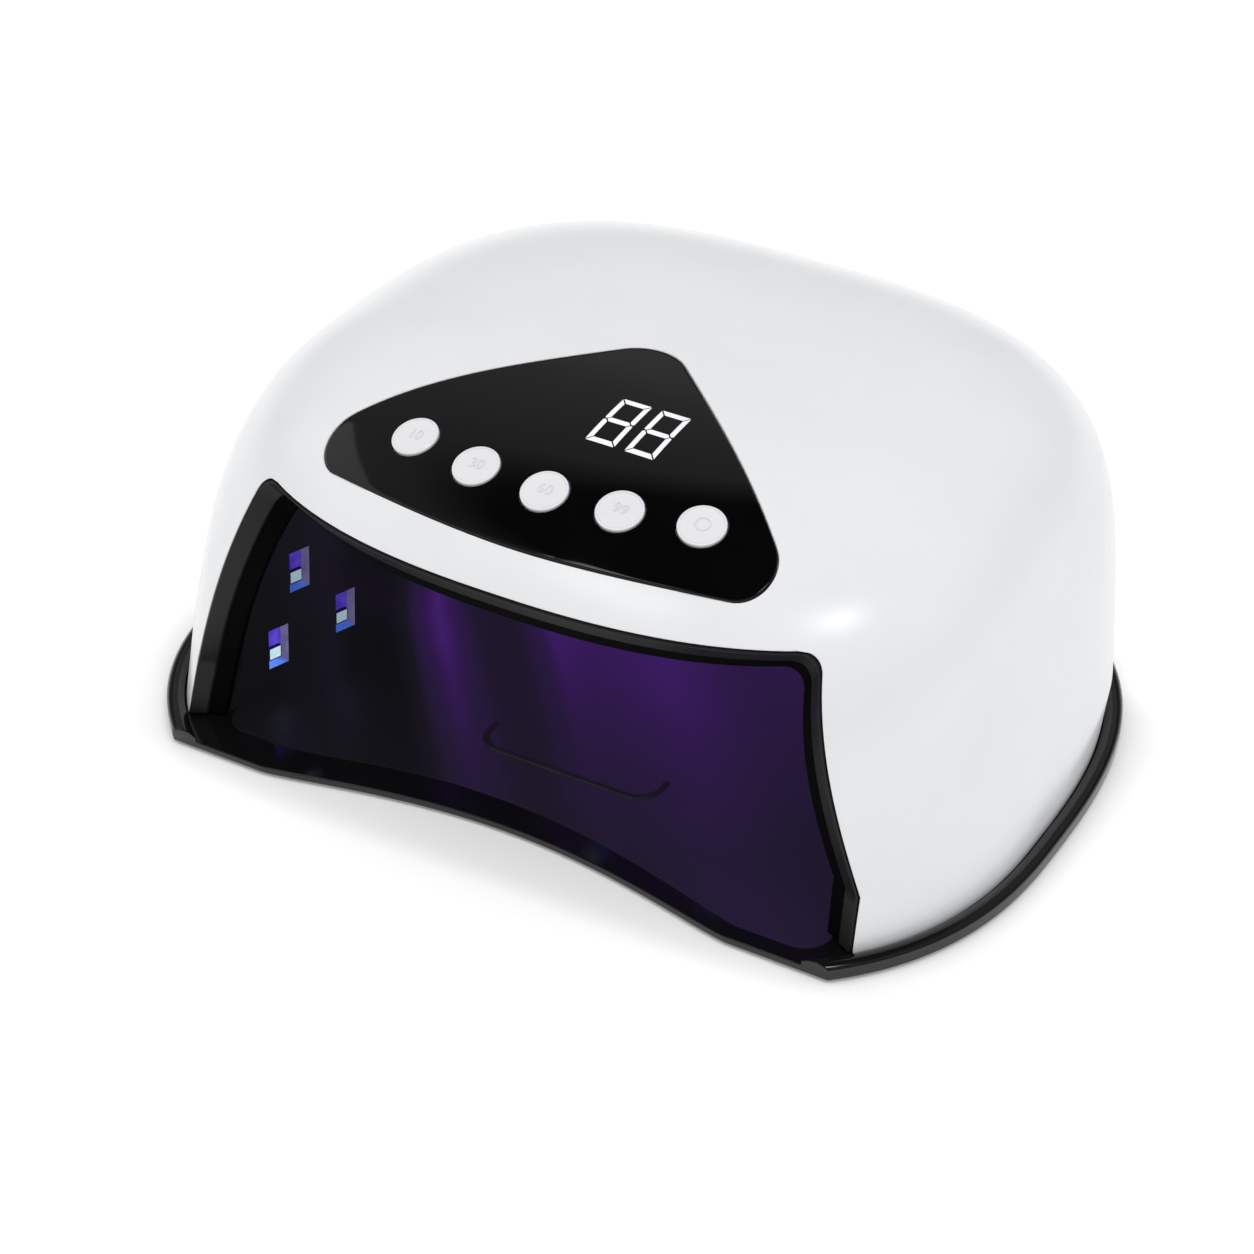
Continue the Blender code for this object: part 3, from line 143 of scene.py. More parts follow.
# Places that follow from the sizes
FRONT_Y = -TRAY_DEPTH / 2
BACK_Y = TRAY_DEPTH / 2
FLOOR_Z = FOOT_PROUD + TRAY_FLOOR
BEAD_Z = FLOOR_Z + BEAD_HEIGHT
BODY_Z = FLOOR_Z + SEAT_GAP
CREASE_Z = FOOT_PROUD + CREASE_HEIGHT
OPENING_Z = LAMP_HEIGHT - OPENING_HEAD
OPENING_HALF = TRAY_WIDTH / 2 - OPENING_PILLAR
RIM_Y = FRONT_Y + TRAY_WIDEST
CORNER_SHARE = 1 - 2 * TRAY_CORNER_INSET / TRAY_WIDTH
RIM_FRONT = TRAY_WIDEST / (1 - CORNER_SHARE ** TRAY_FULLNESS[0]) ** (1 / TRAY_FULLNESS[0])
RIM_BACK = TRAY_DEPTH - TRAY_WIDEST
SCOOP_HALF = TRAY_WIDTH / 2 - TRAY_CORNER_INSET - SCOOP_LAND
SHELL_INSET = BEAD_WIDTH + SLIDE_GAP
DOME_Y = FRONT_Y + DOME_CENTRE
DOME_HALF = TRAY_WIDTH / 2 - SHELL_INSET
DOME_FRONT = DOME_CENTRE + DOME_OVERHANG
DOME_BACK = BACK_Y - SHELL_INSET - DOME_Y
LINER_HALF = OPENING_HALF - SEAT_GAP - BEZEL_WIDTH - LINER_STEP
LINER_Y = FRONT_Y + FLANGE_SETBACK
LINER_ROOF_Z = OPENING_Z - SEAT_GAP - BEZEL_WIDTH + LINER_HEADROOM
LINER_BACK_Y = BACK_Y - LINER_BACK
FLANGE_Z = BODY_Z + FLANGE_THICKNESS
PANEL_MIDDLE = (-0.001, FRONT_Y + 0.046)

# Finer sizes that only show here
EDGE_ROUND = 0.00045         # rounding of the shell's moulded edges
PANEL_LEDGE = 0.0030         # width of the shelf that the panel lies on
PANEL_CORNERS = ((0.0, 0.0085), (0.0667, 0.0253), (-0.0038, 0.0924), (-0.0684, 0.0259))
PANEL_RADII = (0.0087, 0.0120, 0.0093)   # of all but the first, the bowed front edge
GASKET_INSET = 0.0044        # where the bezel's face ends and its sunk gasket, black as painted shade, begins
GASKET_LIP = 0.0082          # where the gasket ends, in front of the chamber's wall
GASKET_STEP = 0.0005         # of the gasket behind the face
BEAD_POWER = 1.7             # of the tray bead's rounding, a little ridged
WALL_CLEARANCE = 0.00003     # of the chamber's wall over the tray's plate
PLATE_OVERLAP = 0.0004       # of the plate under that wall
PLATE_SKEW = 0.0045          # by which its front margin is narrower at the right
SKEW_START = -0.020          # where the margin begins to narrow
WINDOW_WIDTH = 0.0058
LED_EMITTER = 0.0032         # bright face of a chip
RIDGE_THICKNESS = 0.0018
KEY_RIM = 0.00045            # width of the raised rim of a key
KEY_GROOVE = 0.00022         # depth of the groove inside the rim
KEY_DISH = 0.0001            # depth of its face below the rim
MARK_HEIGHT = 0.0040         # of the numbers on the keys
MARK_RELIEF = 0.0001
SEGMENT_WIDTH = 0.0016       # of an upright bar of the display's digits
SEGMENT_HEIGHT = 0.0019      # of a level bar
SEGMENT_GAP = 0.00036        # between two bars
DIGIT_HALF_WIDTH = 0.0040    # to the outer edges
DIGIT_HALF_HEIGHT = 0.0090
DIGIT_PITCH = 0.01037
DIGITS_X = 0.0039            # middle of the left digit
DIGITS_Y = -0.0323
CAMERA_PLACE = (0.34605, -0.6145, 0.49585)
CAMERA_AZIMUTH = 0.5285397
CAMERA_ELEVATION = 0.5997644
CAMERA_LENS = 98.19

# Painted light in the chamber: the LEDs and their painted glow dim between two depths, as painted shade, and lanes of
# painted violet light cross its floor and walls
GLOW_Y = (-0.0575, -0.0555)
LANE_TURN = math.radians(40)     # of the lanes, from straight out to the front
LANES = ((-0.110, 0.03), (-0.100, 0.08), (-0.094, 0.15), (-0.084, 0.20), (-0.077, 0.10), (-0.070, 0.07),
         (-0.0645, 0.18), (-0.060, 0.56), (-0.055, 0.93), (-0.050, 0.62), (-0.045, 0.32), (-0.0365, 0.30),
         (-0.0315, 0.55), (-0.027, 0.92), (-0.018, 0.86), (-0.009, 0.88), (-0.001, 1.0), (0.006, 0.93),
         (0.0145, 0.74), (0.020, 0.70), (0.030, 0.72), (0.050, 0.60))   # place across, brightness
LANES_SOFT = ((-0.110, 0.03), (-0.090, 0.15), (-0.070, 0.16), (-0.055, 0.62), (-0.041, 0.42), (-0.025, 0.64),
              (-0.001, 0.96), (0.020, 0.72), (0.050, 0.62))             # the same, far out to the front
LANE_FADE = ((-0.080, 0.40), (0.020, 1.0))                              # place along, brightness
LANE_BLUR = (-0.060, 0.015)                                             # places along from soft to sharp

# Studio: azimuth and elevation in degrees, distance, size, brightness, and whether reflections show it
SOFT_BOXES = {
    "key_box": (57, 58, 1.3, (0.28, 0.19), 9.2, True),
    "front_box": (-24, 57, 1.3, (0.42, 0.26), 2.7, True),
    "left_box": (-75, 32, 1.5, (1.2, 0.6), 0.45, True),
    "top_fill": (0, 90, 1.2, (1.4, 1.4), 0.63, False),
    "side_fill": (75, 22, 1.5, (1.4, 1.0), 0.30, False),
}
WORLD_LEVEL = 0.635          # light of the surroundings on the object, where white is 1
MIRROR_SKY = ((0.0, 1.0), (0.03, 1.0), (0.14, 0.35), (0.30, 0.08), (0.475, 0.06), (0.485, 0.50), (0.50, 0.30),
              (0.54, 0.25), (0.78, 0.23), (0.87, 0.02))   # sine of the elevation, brightness in reflections
FLOOR_LIFT = (0.13, 0.28)    # glow that brings the paper up to white: less beside the lamp, where the real shadow shows, and more outside the painted shadow's edge
PAINTED_SHADOW_REACH = (0.119, 0.070)    # half width of the painted shadow, and its reach to the front from the tray's widest line
PAINTED_SHADOW_EDGE = (0.92, 1.08)   # shares of that reach over which the painted shadow ends
FAR_FLOOR = (0.4, 1.2)       # distances over which the paper turns wholly white
FAR_LIFT = 0.20

# Point counts
TOP_COLUMNS = 96
BACK_COLUMNS = 300
CROWN_ROWS = 24
CORNER_STEPS = 14
RIM_COLUMNS = 220


# Surfaces of the lamp, in plain numbers

def superellipse(angle, middle_y, half, front, back, front_fullness, back_fullness):
    across, along = np.cos(angle), np.sin(angle)
    fullness = np.where(along < 0, front_fullness, back_fullness)
    reach = np.where(along < 0, front, back)
    x = half * np.sign(across) * np.abs(across) ** (2 / fullness)
    y = middle_y + reach * np.sign(along) * np.abs(along) ** (2 / fullness)
    return x, y


def rim_point(angle, inset):
    return superellipse(angle, RIM_Y, TRAY_WIDTH / 2 - inset, RIM_FRONT - inset, RIM_BACK - inset,
                        *TRAY_FULLNESS)


def fall(rise, power):
    return np.maximum(0.0, 1 - rise ** power) ** (1 / power)


def dome_section(z, inset):
    """Half width, front reach, back reach and the two plan powers of the dome at a height."""
    rise = np.clip((z - CREASE_Z) / (LAMP_HEIGHT - inset - CREASE_Z), 0.0, 1.0)
    half = (DOME_HALF - inset) * (1 - DOME_SIDE_TAPER * rise) * fall(rise, DOME_SIDE_PROFILE)
    front = (DOME_FRONT - inset) * fall(rise, DOME_FRONT_PROFILE)
    back = (DOME_BACK - inset) * fall(rise, DOME_BACK_PROFILE)
    powers = [low + (high - low) * rise for low, high in (DOME_FRONT_FULLNESS, DOME_BACK_FULLNESS)]
    return half, front, back, powers[0], powers[1]


def shell_point(angle, z, inset):
    """Plan point of the shell at a height: straight skirt below the crease, dome above."""
    dome = superellipse(angle, DOME_Y, *dome_section(z, inset))
    foot = rim_point(angle, SHELL_INSET + inset)
    share = np.clip((z - BODY_Z) / (CREASE_Z - BODY_Z), 0.0, 1.0)
    return [low + (high - low) * share for low, high in zip(foot, dome)]


def dome_height(x, y, inset=0.0):
    """Height of the dome over plan points."""
    low = np.full(np.shape(x), CREASE_Z)
    high = np.full(np.shape(x), LAMP_HEIGHT - inset)
    for _ in range(48):
        middle = (low + high) / 2
        half, front, back, front_power, back_power = dome_section(middle, inset)
        reach = np.maximum(np.where(y < DOME_Y, front, back), 1e-9)
        power = np.where(y < DOME_Y, front_power, back_power)
        outside = (np.abs(x) / np.maximum(half, 1e-9)) ** power + (np.abs(y - DOME_Y) / reach) ** power > 1
        low, high = np.where(outside, low, middle), np.where(outside, middle, high)
    return low


def dome_normal(x, y):
    step = 0.0005
    slope_x = (dome_height(x + step, y) - dome_height(x - step, y)) / (2 * step)
    slope_y = (dome_height(x, y + step) - dome_height(x, y - step)) / (2 * step)
    return Vector((-slope_x, -slope_y, 1)).normalized()


def edge_angle(x, z, inset=0.0):
    """Angle round the front of the shell at which it reaches a width, at a height."""
    low = np.full(np.broadcast(x, z).shape, -math.pi / 2)
    high = np.zeros_like(low)
    for _ in range(48):
        middle = (low + high) / 2
        short = shell_point(middle, z, inset)[0] < np.abs(x)
        low, high = np.where(short, middle, low), np.where(short, high, middle)
    return low


def front_surface(x, z, inset=0.0):
    """Y of the shell's front at points of the opening's edge."""
    return shell_point(edge_angle(x, z, inset), z, inset)[1]


def opening_side(inset, bottom):
    """Right side of the opening, moved in by an inset: (x, z) from its foot to the top edge."""
    lean = OPENING_LEAN / (OPENING_Z - CREASE_Z)
    top = OPENING_Z - inset
    foot = np.array((OPENING_HALF + OPENING_FLARE - inset, bottom))
    crease = np.array((OPENING_HALF - inset * math.hypot(1, lean), CREASE_Z))
    corner = np.array((crease[0] - lean * (top - CREASE_Z), top))
    down = (crease - corner) / np.linalg.norm(crease - corner)
    level = np.array((-1.0, 0.0))
    half = math.acos(down @ level) / 2
    run = OPENING_CORNER / math.tan(half)
    start = corner + down * run
    middle = corner + level * run - np.array((0, OPENING_CORNER))
    first = math.atan2(*(start - middle)[::-1])
    turns = np.linspace(first, math.pi / 2, CORNER_STEPS + 1)
    arc = [middle + OPENING_CORNER * np.array((math.cos(t), math.sin(t))) for t in turns]
    skirt = np.linspace(foot, crease, 8)
    side = np.linspace(crease, arc[0], 26)
    return np.array(list(skirt[:-1]) + list(side[:-1]) + arc)


def opening_line(inset, bottom):
    """Opening from its right foot over the top to its left foot, as (x, z) points."""
    side = opening_side(inset, bottom)
    mirrored = side[::-1] * (-1, 1)
    top = np.linspace(side[-1], mirrored[0], TOP_COLUMNS + 1)
    return np.vstack((side[:-1], top, mirrored[1:]))


def rounded(corners, radii, steps=CORNER_STEPS):
    """Plan outline with each corner turned into an arc of its own radius."""
    points = []
    for i, radius in enumerate(radii):
        here = Vector(corners[i])
        if radius == 0:
            points.append(here)
            continue
        before = (Vector(corners[i - 1]) - here).normalized()
        after = (Vector(corners[(i + 1) % len(corners)]) - here).normalized()
        half = before.angle(after) / 2
        middle = here + (before + after).normalized() * (radius / math.sin(half))
        first = here + before * (radius / math.tan(half)) - middle
        sweep = first.angle_signed(here + after * (radius / math.tan(half)) - middle)
        for step in range(steps + 1):
            points.append(middle + Matrix.Rotation(-sweep * step / steps, 2) @ first)
    return np.array(points)


def panel_outline():
    """Rounded triangle with a bowed front edge, in plan; its apex leans a little to the left."""
    nose, right, apex, left = [Vector((x, FRONT_Y + y)) for x, y in PANEL_CORNERS]
    runs = []
    for corner, radius in ((right, PANEL_RADII[0]), (left, PANEL_RADII[2])):
        edge = corner - nose
        runs.append(edge.length - radius / math.tan(edge.angle(corner - apex) / 2) - PANEL_STRAIGHT)
    front_radius = min(runs) * math.tan((right - nose).angle(left - nose) / 2)
    return rounded((nose, right, apex, left), (front_radius, *PANEL_RADII), 80)


def panel_reach(directions):
    """Distance from the panel's middle to its edge along plan directions, given as angles."""
    outline = panel_outline()
    loop = np.vstack((outline, outline[:1]))
    dense = np.vstack([np.linspace(a, b, 24, endpoint=False) for a, b in zip(loop, loop[1:])])
    arms = dense - PANEL_MIDDLE
    angles = np.arctan2(arms[:, 1], arms[:, 0])
    order = np.argsort(angles)
    return np.interp(directions, angles[order], np.hypot(*arms.T)[order], period=2 * math.pi)


def rim_path(inset, steps=RIM_COLUMNS):
    """Tray rim from the right front corner round the back to the left one, evenly spaced."""
    start = -math.asin((TRAY_WIDEST / (RIM_FRONT - inset)) ** (TRAY_FULLNESS[0] / 2))
    x, y = rim_point(np.linspace(start, math.pi - start, 6000), inset)
    length = np.concatenate(([0], np.cumsum(np.hypot(np.diff(x), np.diff(y)))))
    marks = np.linspace(0, length[-1], steps + 1)
    return np.column_stack((np.interp(marks, length, x), np.interp(marks, length, y)))


def front_edge(x):
    """Y of the tray's scooped front edge."""
    share = np.minimum(1.0, np.abs(x) / SCOOP_HALF)
    return FRONT_Y + SCOOP_DEPTH * (1 - share ** 2) ** SCOOP_POWER


def liner_side(offset, mouth_y, straight=24, bend=40):
    """Right half of the chamber's plan, grown by an offset, from its mouth to the rear middle."""
    wall = np.array((math.cos(LINER_TAPER), math.sin(LINER_TAPER)))
    back_along = np.array((-math.sin(LINER_TAPER), math.cos(LINER_TAPER)))
    end = np.array((LINER_HALF, LINER_Y)) + back_along * LINER_STRAIGHT + wall * offset
    mouth = np.array((end[0] + (end[1] - mouth_y) * math.tan(LINER_TAPER), mouth_y))
    back = LINER_BACK_Y + offset
    handle = end + back_along * LINER_SWEEP
    t = np.linspace(0, 1, bend + 1)[:, None]
    curve = (end * (1 - t) ** 3 + handle * 3 * t * (1 - t) ** 2
             + np.array((LINER_REAR_FLAT, back)) * 3 * t ** 2 * (1 - t) + np.array((0, back)) * t ** 3)
    return np.vstack((np.linspace(mouth, end, straight + 1)[:-1], curve))


def axes(origin, across, up, out):
    """Matrix whose X, Y and Z columns are the given unit directions."""
    return Matrix.Translation(origin) @ Matrix((across, up, out)).transposed().to_4x4()


def wall_place(side, along, rise):
    """Frame on the chamber's side wall: Z points into the chamber, Y up the wall."""
    back = Vector((-side * math.sin(LINER_TAPER), math.cos(LINER_TAPER), 0))
    inward = Vector((-side * math.cos(LINER_TAPER), -math.sin(LINER_TAPER), 0))
    up = (inward * LINER_LEAN + Vector((0, 0, 1))).normalized()
    out = (inward - Vector((0, 0, LINER_LEAN))).normalized()
    mouth = float(front_surface(OPENING_HALF, CREASE_Z)) + BEZEL_DEPTH + SEAT_GAP
    half = LINER_HALF - (mouth - LINER_Y) * math.tan(LINER_TAPER)
    start = Vector((side * half, mouth, CREASE_Z))
    return axes(start + back * along + up * rise, up.cross(out), up, out)


def roof_place(x, y):
    """Frame on the chamber's roof: Z points down into the chamber."""
    return axes(Vector((x, y, LINER_ROOF_Z)), Vector((1, 0, 0)), Vector((0, -1, 0)), Vector((0, 0, -1)))


def roof_spots():
    first = FRONT_Y + ROOF_WINDOW_SETBACK
    return [(side * ROOF_WINDOW_SPREAD / 2, first + row * ROOF_WINDOW_PITCH)
            for row in range(ROOF_WINDOW_ROWS) for side in (-1, 1)]


def button_place(index):
    x = (index - (BUTTON_COUNT - 1) / 2) * BUTTON_PITCH
    y = FRONT_Y + BUTTON_ROW + BUTTON_ROW_RADIUS - math.sqrt(BUTTON_ROW_RADIUS ** 2 - x ** 2)
    out = dome_normal(x, y)
    across = Vector((0, 1, 0)).cross(out).normalized()
    return axes(Vector((x, y, float(dome_height(x, y)))), across, out.cross(across), out)


def jack_place():
    y = float(shell_point(np.array(math.pi / 2), np.array(JACK_HEIGHT), 0.0)[1])
    return axes(Vector((0, y, JACK_HEIGHT)), Vector((1, 0, 0)), Vector((0, 0, -1)), Vector((0, 1, 0)))


# Modelling helpers

def take(piece):
    """Make a piece the only selected and the active object."""
    bpy.ops.object.select_all(action="DESELECT")
    piece.select_set(True)
    bpy.context.view_layer.objects.active = piece


def edit(piece, mode="VERT"):
    """Open a piece in edit mode with all of it selected."""
    take(piece)
    bpy.ops.object.mode_set(mode="EDIT")
    bpy.ops.mesh.select_mode(type=mode)
    bpy.ops.mesh.select_all(action="SELECT")


def leave_edit():
    bpy.ops.object.mode_set(mode="OBJECT")


def tidy(piece):
    """Merge what coincides and turn all faces outwards."""
    edit(piece)
    bpy.ops.mesh.remove_doubles(threshold=2e-6)
    bpy.ops.mesh.dissolve_degenerate(threshold=1e-6)
    bpy.ops.mesh.select_all(action="SELECT")
    bpy.ops.mesh.normals_make_consistent(inside=False)
    leave_edit()
    return piece


def modify(piece, kind, **settings):
    """Add a modifier and apply it."""
    take(piece)
    step = piece.modifiers.new(kind.lower(), kind)
    for name, value in settings.items():
        setattr(step, name, value)
    bpy.ops.object.modifier_apply(modifier=step.name)
    return piece


def sheet(points):
    """Grid laid on a table of points with rows, columns and three coordinates."""
    points = np.asarray(points, dtype=float)
    rows, columns = points.shape[:2]
    bpy.ops.object.select_all(action="DESELECT")
    bpy.ops.mesh.primitive_grid_add(x_subdivisions=columns - 1, y_subdivisions=rows - 1, size=2)
    piece = bpy.context.object
    start = np.empty(len(piece.data.vertices) * 3)
    piece.data.vertices.foreach_get("co", start)
    start = start.reshape(-1, 3)
    column = np.rint((start[:, 0] + 1) / 2 * (columns - 1)).astype(int)
    row = np.rint((start[:, 1] + 1) / 2 * (rows - 1)).astype(int)
    piece.data.vertices.foreach_set("co", points[row, column].ravel())
    return piece


def joined(name, parts):
    """Join sheets along their common edges into one piece that faces outwards."""
    take(parts[0])
    for part in parts[1:]:
        part.select_set(True)
    bpy.ops.object.join()
    piece = bpy.context.object
    piece.name = piece.data.name = name
    return tidy(piece)


def close_holes(piece):
    """Fill every open loop of a piece with a face."""
    edit(piece)
    bpy.ops.mesh.fill_holes(sides=0)
    bpy.ops.mesh.select_all(action="SELECT")
    bpy.ops.mesh.normals_make_consistent(inside=False)
    leave_edit()
    return piece


def prism(name, outline, low, high):
    """Upright solid on a plan outline."""
    loop = np.vstack((outline, outline[:1]))
    rings = [np.column_stack((loop, np.full(len(loop), z))) for z in (low, high)]
    return close_holes(joined(name, [sheet(rings)]))


def loft(name, sections):
    """Solid through a row of closed sections, with flat ends."""
    sections = np.asarray(sections)
    return close_holes(joined(name, [sheet(np.concatenate((sections, sections[:, :1]), axis=1))]))


def turned(name, profile, steps=96):
    """Spin a profile of (radius, height) pairs about Z; its ends lie on the axis."""
    bpy.ops.object.select_all(action="DESELECT")
    bpy.ops.mesh.primitive_plane_add(size=0.001)
    piece = bpy.context.object
    piece.name = piece.data.name = name
    edit(piece)
    bpy.ops.mesh.merge(type="CENTER")
    bpy.ops.transform.translate(value=(profile[0][0], 0, profile[0][1]))
    for (r, z), (next_r, next_z) in zip(profile, profile[1:]):
        bpy.ops.mesh.extrude_region_move(TRANSFORM_OT_translate={"value": (next_r - r, 0, next_z - z)})
    bpy.ops.mesh.select_all(action="SELECT")
    bpy.ops.mesh.spin(steps=steps, angle=2 * math.pi, center=(0, 0, 0), axis=(0, 0, 1))
    leave_edit()
    return tidy(piece)


def put(piece, place):
    """Set a piece in its place and leave its object at the origin."""
    take(piece)
    piece.matrix_world = place
    bpy.ops.object.transform_apply(location=True, rotation=True, scale=True)
    return piece


def copied(piece, name):
    take(piece)
    bpy.ops.object.duplicate()
    twin = bpy.context.object
    twin.name = twin.data.name = name
    return twin


def rounded_edges(piece, width, segments=3, angle=35):
    """Round every edge that bends by more than an angle, and keep broad faces flat to the light."""
    modify(piece, "BEVEL", width=width, segments=segments, limit_method="ANGLE",
           angle_limit=math.radians(angle), use_clamp_overlap=False, miter_outer="MITER_ARC")
    take(piece)
    bpy.ops.object.shade_smooth()
    return modify(piece, "WEIGHTED_NORMAL", weight=50, keep_sharp=True)


def cut(piece, tool, operation="DIFFERENCE"):
    """Cut or join a piece with another, which is used up; new faces keep the tool's finish."""
    modify(piece, "BOOLEAN", object=tool, operation=operation, solver="EXACT", material_mode="TRANSFER")
    bpy.data.objects.remove(tool)
    return piece


def dress(piece, finish, body, slot, *nodes):
    """Give a piece its finish, and say what it moves with and stands for."""
    if finish is not None:
        piece.data.materials.clear()
        piece.data.materials.append(finish)
    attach(piece, body)
    if nodes:
        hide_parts(*nodes)
    return piece


# Finishes

def linear(code):
    """sRGB hex colour as linear RGBA."""
    parts = [int(code[i:i + 2], 16) / 255 for i in (1, 3, 5)]
    return (*[c / 12.92 if c <= 0.04045 else ((c + 0.055) / 1.055) ** 2.4 for c in parts], 1.0)


def add_node(finish, kind, settings=(), links=()):
    """Add a node; settings go to its properties, stops or sockets, and links feed its sockets."""
    node = finish.node_tree.nodes.new(kind)
    for name, value in dict(settings).items():
        if name == "stops":
            while len(node.color_ramp.elements) < len(value):
                node.color_ramp.elements.new(0.5)
            for stop, (place, colour) in zip(node.color_ramp.elements, value):
                stop.position, stop.color = place, colour
        elif name == "easing":
            node.color_ramp.interpolation = value
        elif isinstance(name, str) and hasattr(node, name):
            setattr(node, name, value)
        else:
            node.inputs[name].default_value = value
    for name, source in dict(links).items():
        finish.node_tree.links.new(source, node.inputs[name])
    return node


def finish_base(name, **sockets):
    """New material with its shader's sockets set; returns it, its shader and Object coordinates."""
    finish = bpy.data.materials.new(name)
    finish.use_nodes = True
    shader = finish.node_tree.nodes["Principled BSDF"]
    for socket, value in sockets.items():
        shader.inputs[socket.replace("_", " ")].default_value = value
    place = add_node(finish, "ShaderNodeTexCoord").outputs["Object"]
    return finish, shader, place


def plastic(name, dark, light, roughness, grain_mm, relief_mm, **sockets):
    """Moulded plastic: a little uneven in tone and gloss, with the fine relief of its mould."""
    finish, shader, place = finish_base(name, **sockets)
    links = finish.node_tree.links
    cloud = add_node(finish, "ShaderNodeTexNoise", {"Scale": 1000 / 18, "Detail": 3.0}, {"Vector": place})
    tone = add_node(finish, "ShaderNodeValToRGB", {"stops": [(0.3, linear(dark)), (0.7, linear(light))]},
                    {"Fac": cloud.outputs["Fac"]})
    links.new(tone.outputs["Color"], shader.inputs["Base Color"])
    gloss = add_node(finish, "ShaderNodeMapRange", {"From Min": 0.3, "From Max": 0.7, "To Min": roughness[0],
                                                    "To Max": roughness[1]}, {"Value": cloud.outputs["Fac"]})
    links.new(gloss.outputs["Result"], shader.inputs["Roughness"])
    grain = add_node(finish, "ShaderNodeTexNoise", {"Scale": 1000 / grain_mm, "Detail": 2.0}, {"Vector": place})
    relief = add_node(finish, "ShaderNodeBump", {"Strength": 1.0, "Distance": relief_mm / 1000},
                      {"Height": grain.outputs["Fac"]})
    links.new(relief.outputs["Normal"], shader.inputs["Normal"])
    return finish


def plated(name, dark, light, roughness):
    """Plated metal: bright, with faint cloudy patches."""
    finish, shader, place = finish_base(name, Metallic=1.0, Roughness=roughness)
    cloud = add_node(finish, "ShaderNodeTexNoise", {"Scale": 1000 / 3, "Detail": 4.0}, {"Vector": place})
    tone = add_node(finish, "ShaderNodeValToRGB", {"stops": [(0.3, linear(dark)), (0.7, linear(light))]},
                    {"Fac": cloud.outputs["Fac"]})
    finish.node_tree.links.new(tone.outputs["Color"], shader.inputs["Base Color"])
    return finish


def greys(steps):
    """Ramp stops of grey from (place, brightness) pairs whose places run from 0 to 1 over the row."""
    first, last = steps[0][0], steps[-1][0]
    return [((place - first) / (last - first), (level, level, level, 1.0)) for place, level in steps]


def lit(name, dark, light, strength, size_mm, deep=1.0, **sockets):
    """Surface that glows by itself, a little unevenly, and by the share `deep` far in the chamber; on anything but an
    LED's emitter or a lit digit, that glow is painted light.
    """
    finish, shader, place = finish_base(name, Emission_Strength=strength, **sockets)
    links = finish.node_tree.links
    cloud = add_node(finish, "ShaderNodeTexNoise", {"Scale": 1000 / size_mm, "Detail": 1.0}, {"Vector": place})
    tone = add_node(finish, "ShaderNodeValToRGB", {"stops": [(0.35, linear(dark)), (0.65, linear(light))]},
                    {"Fac": cloud.outputs["Fac"]})
    links.new(tone.outputs["Color"], shader.inputs["Emission Color"])
    if deep < 1:
        split = add_node(finish, "ShaderNodeSeparateXYZ", links={"Vector": place})
        dimmed = add_node(finish, "ShaderNodeMapRange", {"From Min": GLOW_Y[0], "From Max": GLOW_Y[1],
                                                         "To Min": strength, "To Max": strength * deep},
                          {"Value": split.outputs["Y"]})
        links.new(dimmed.outputs["Result"], shader.inputs["Emission Strength"])
    return finish


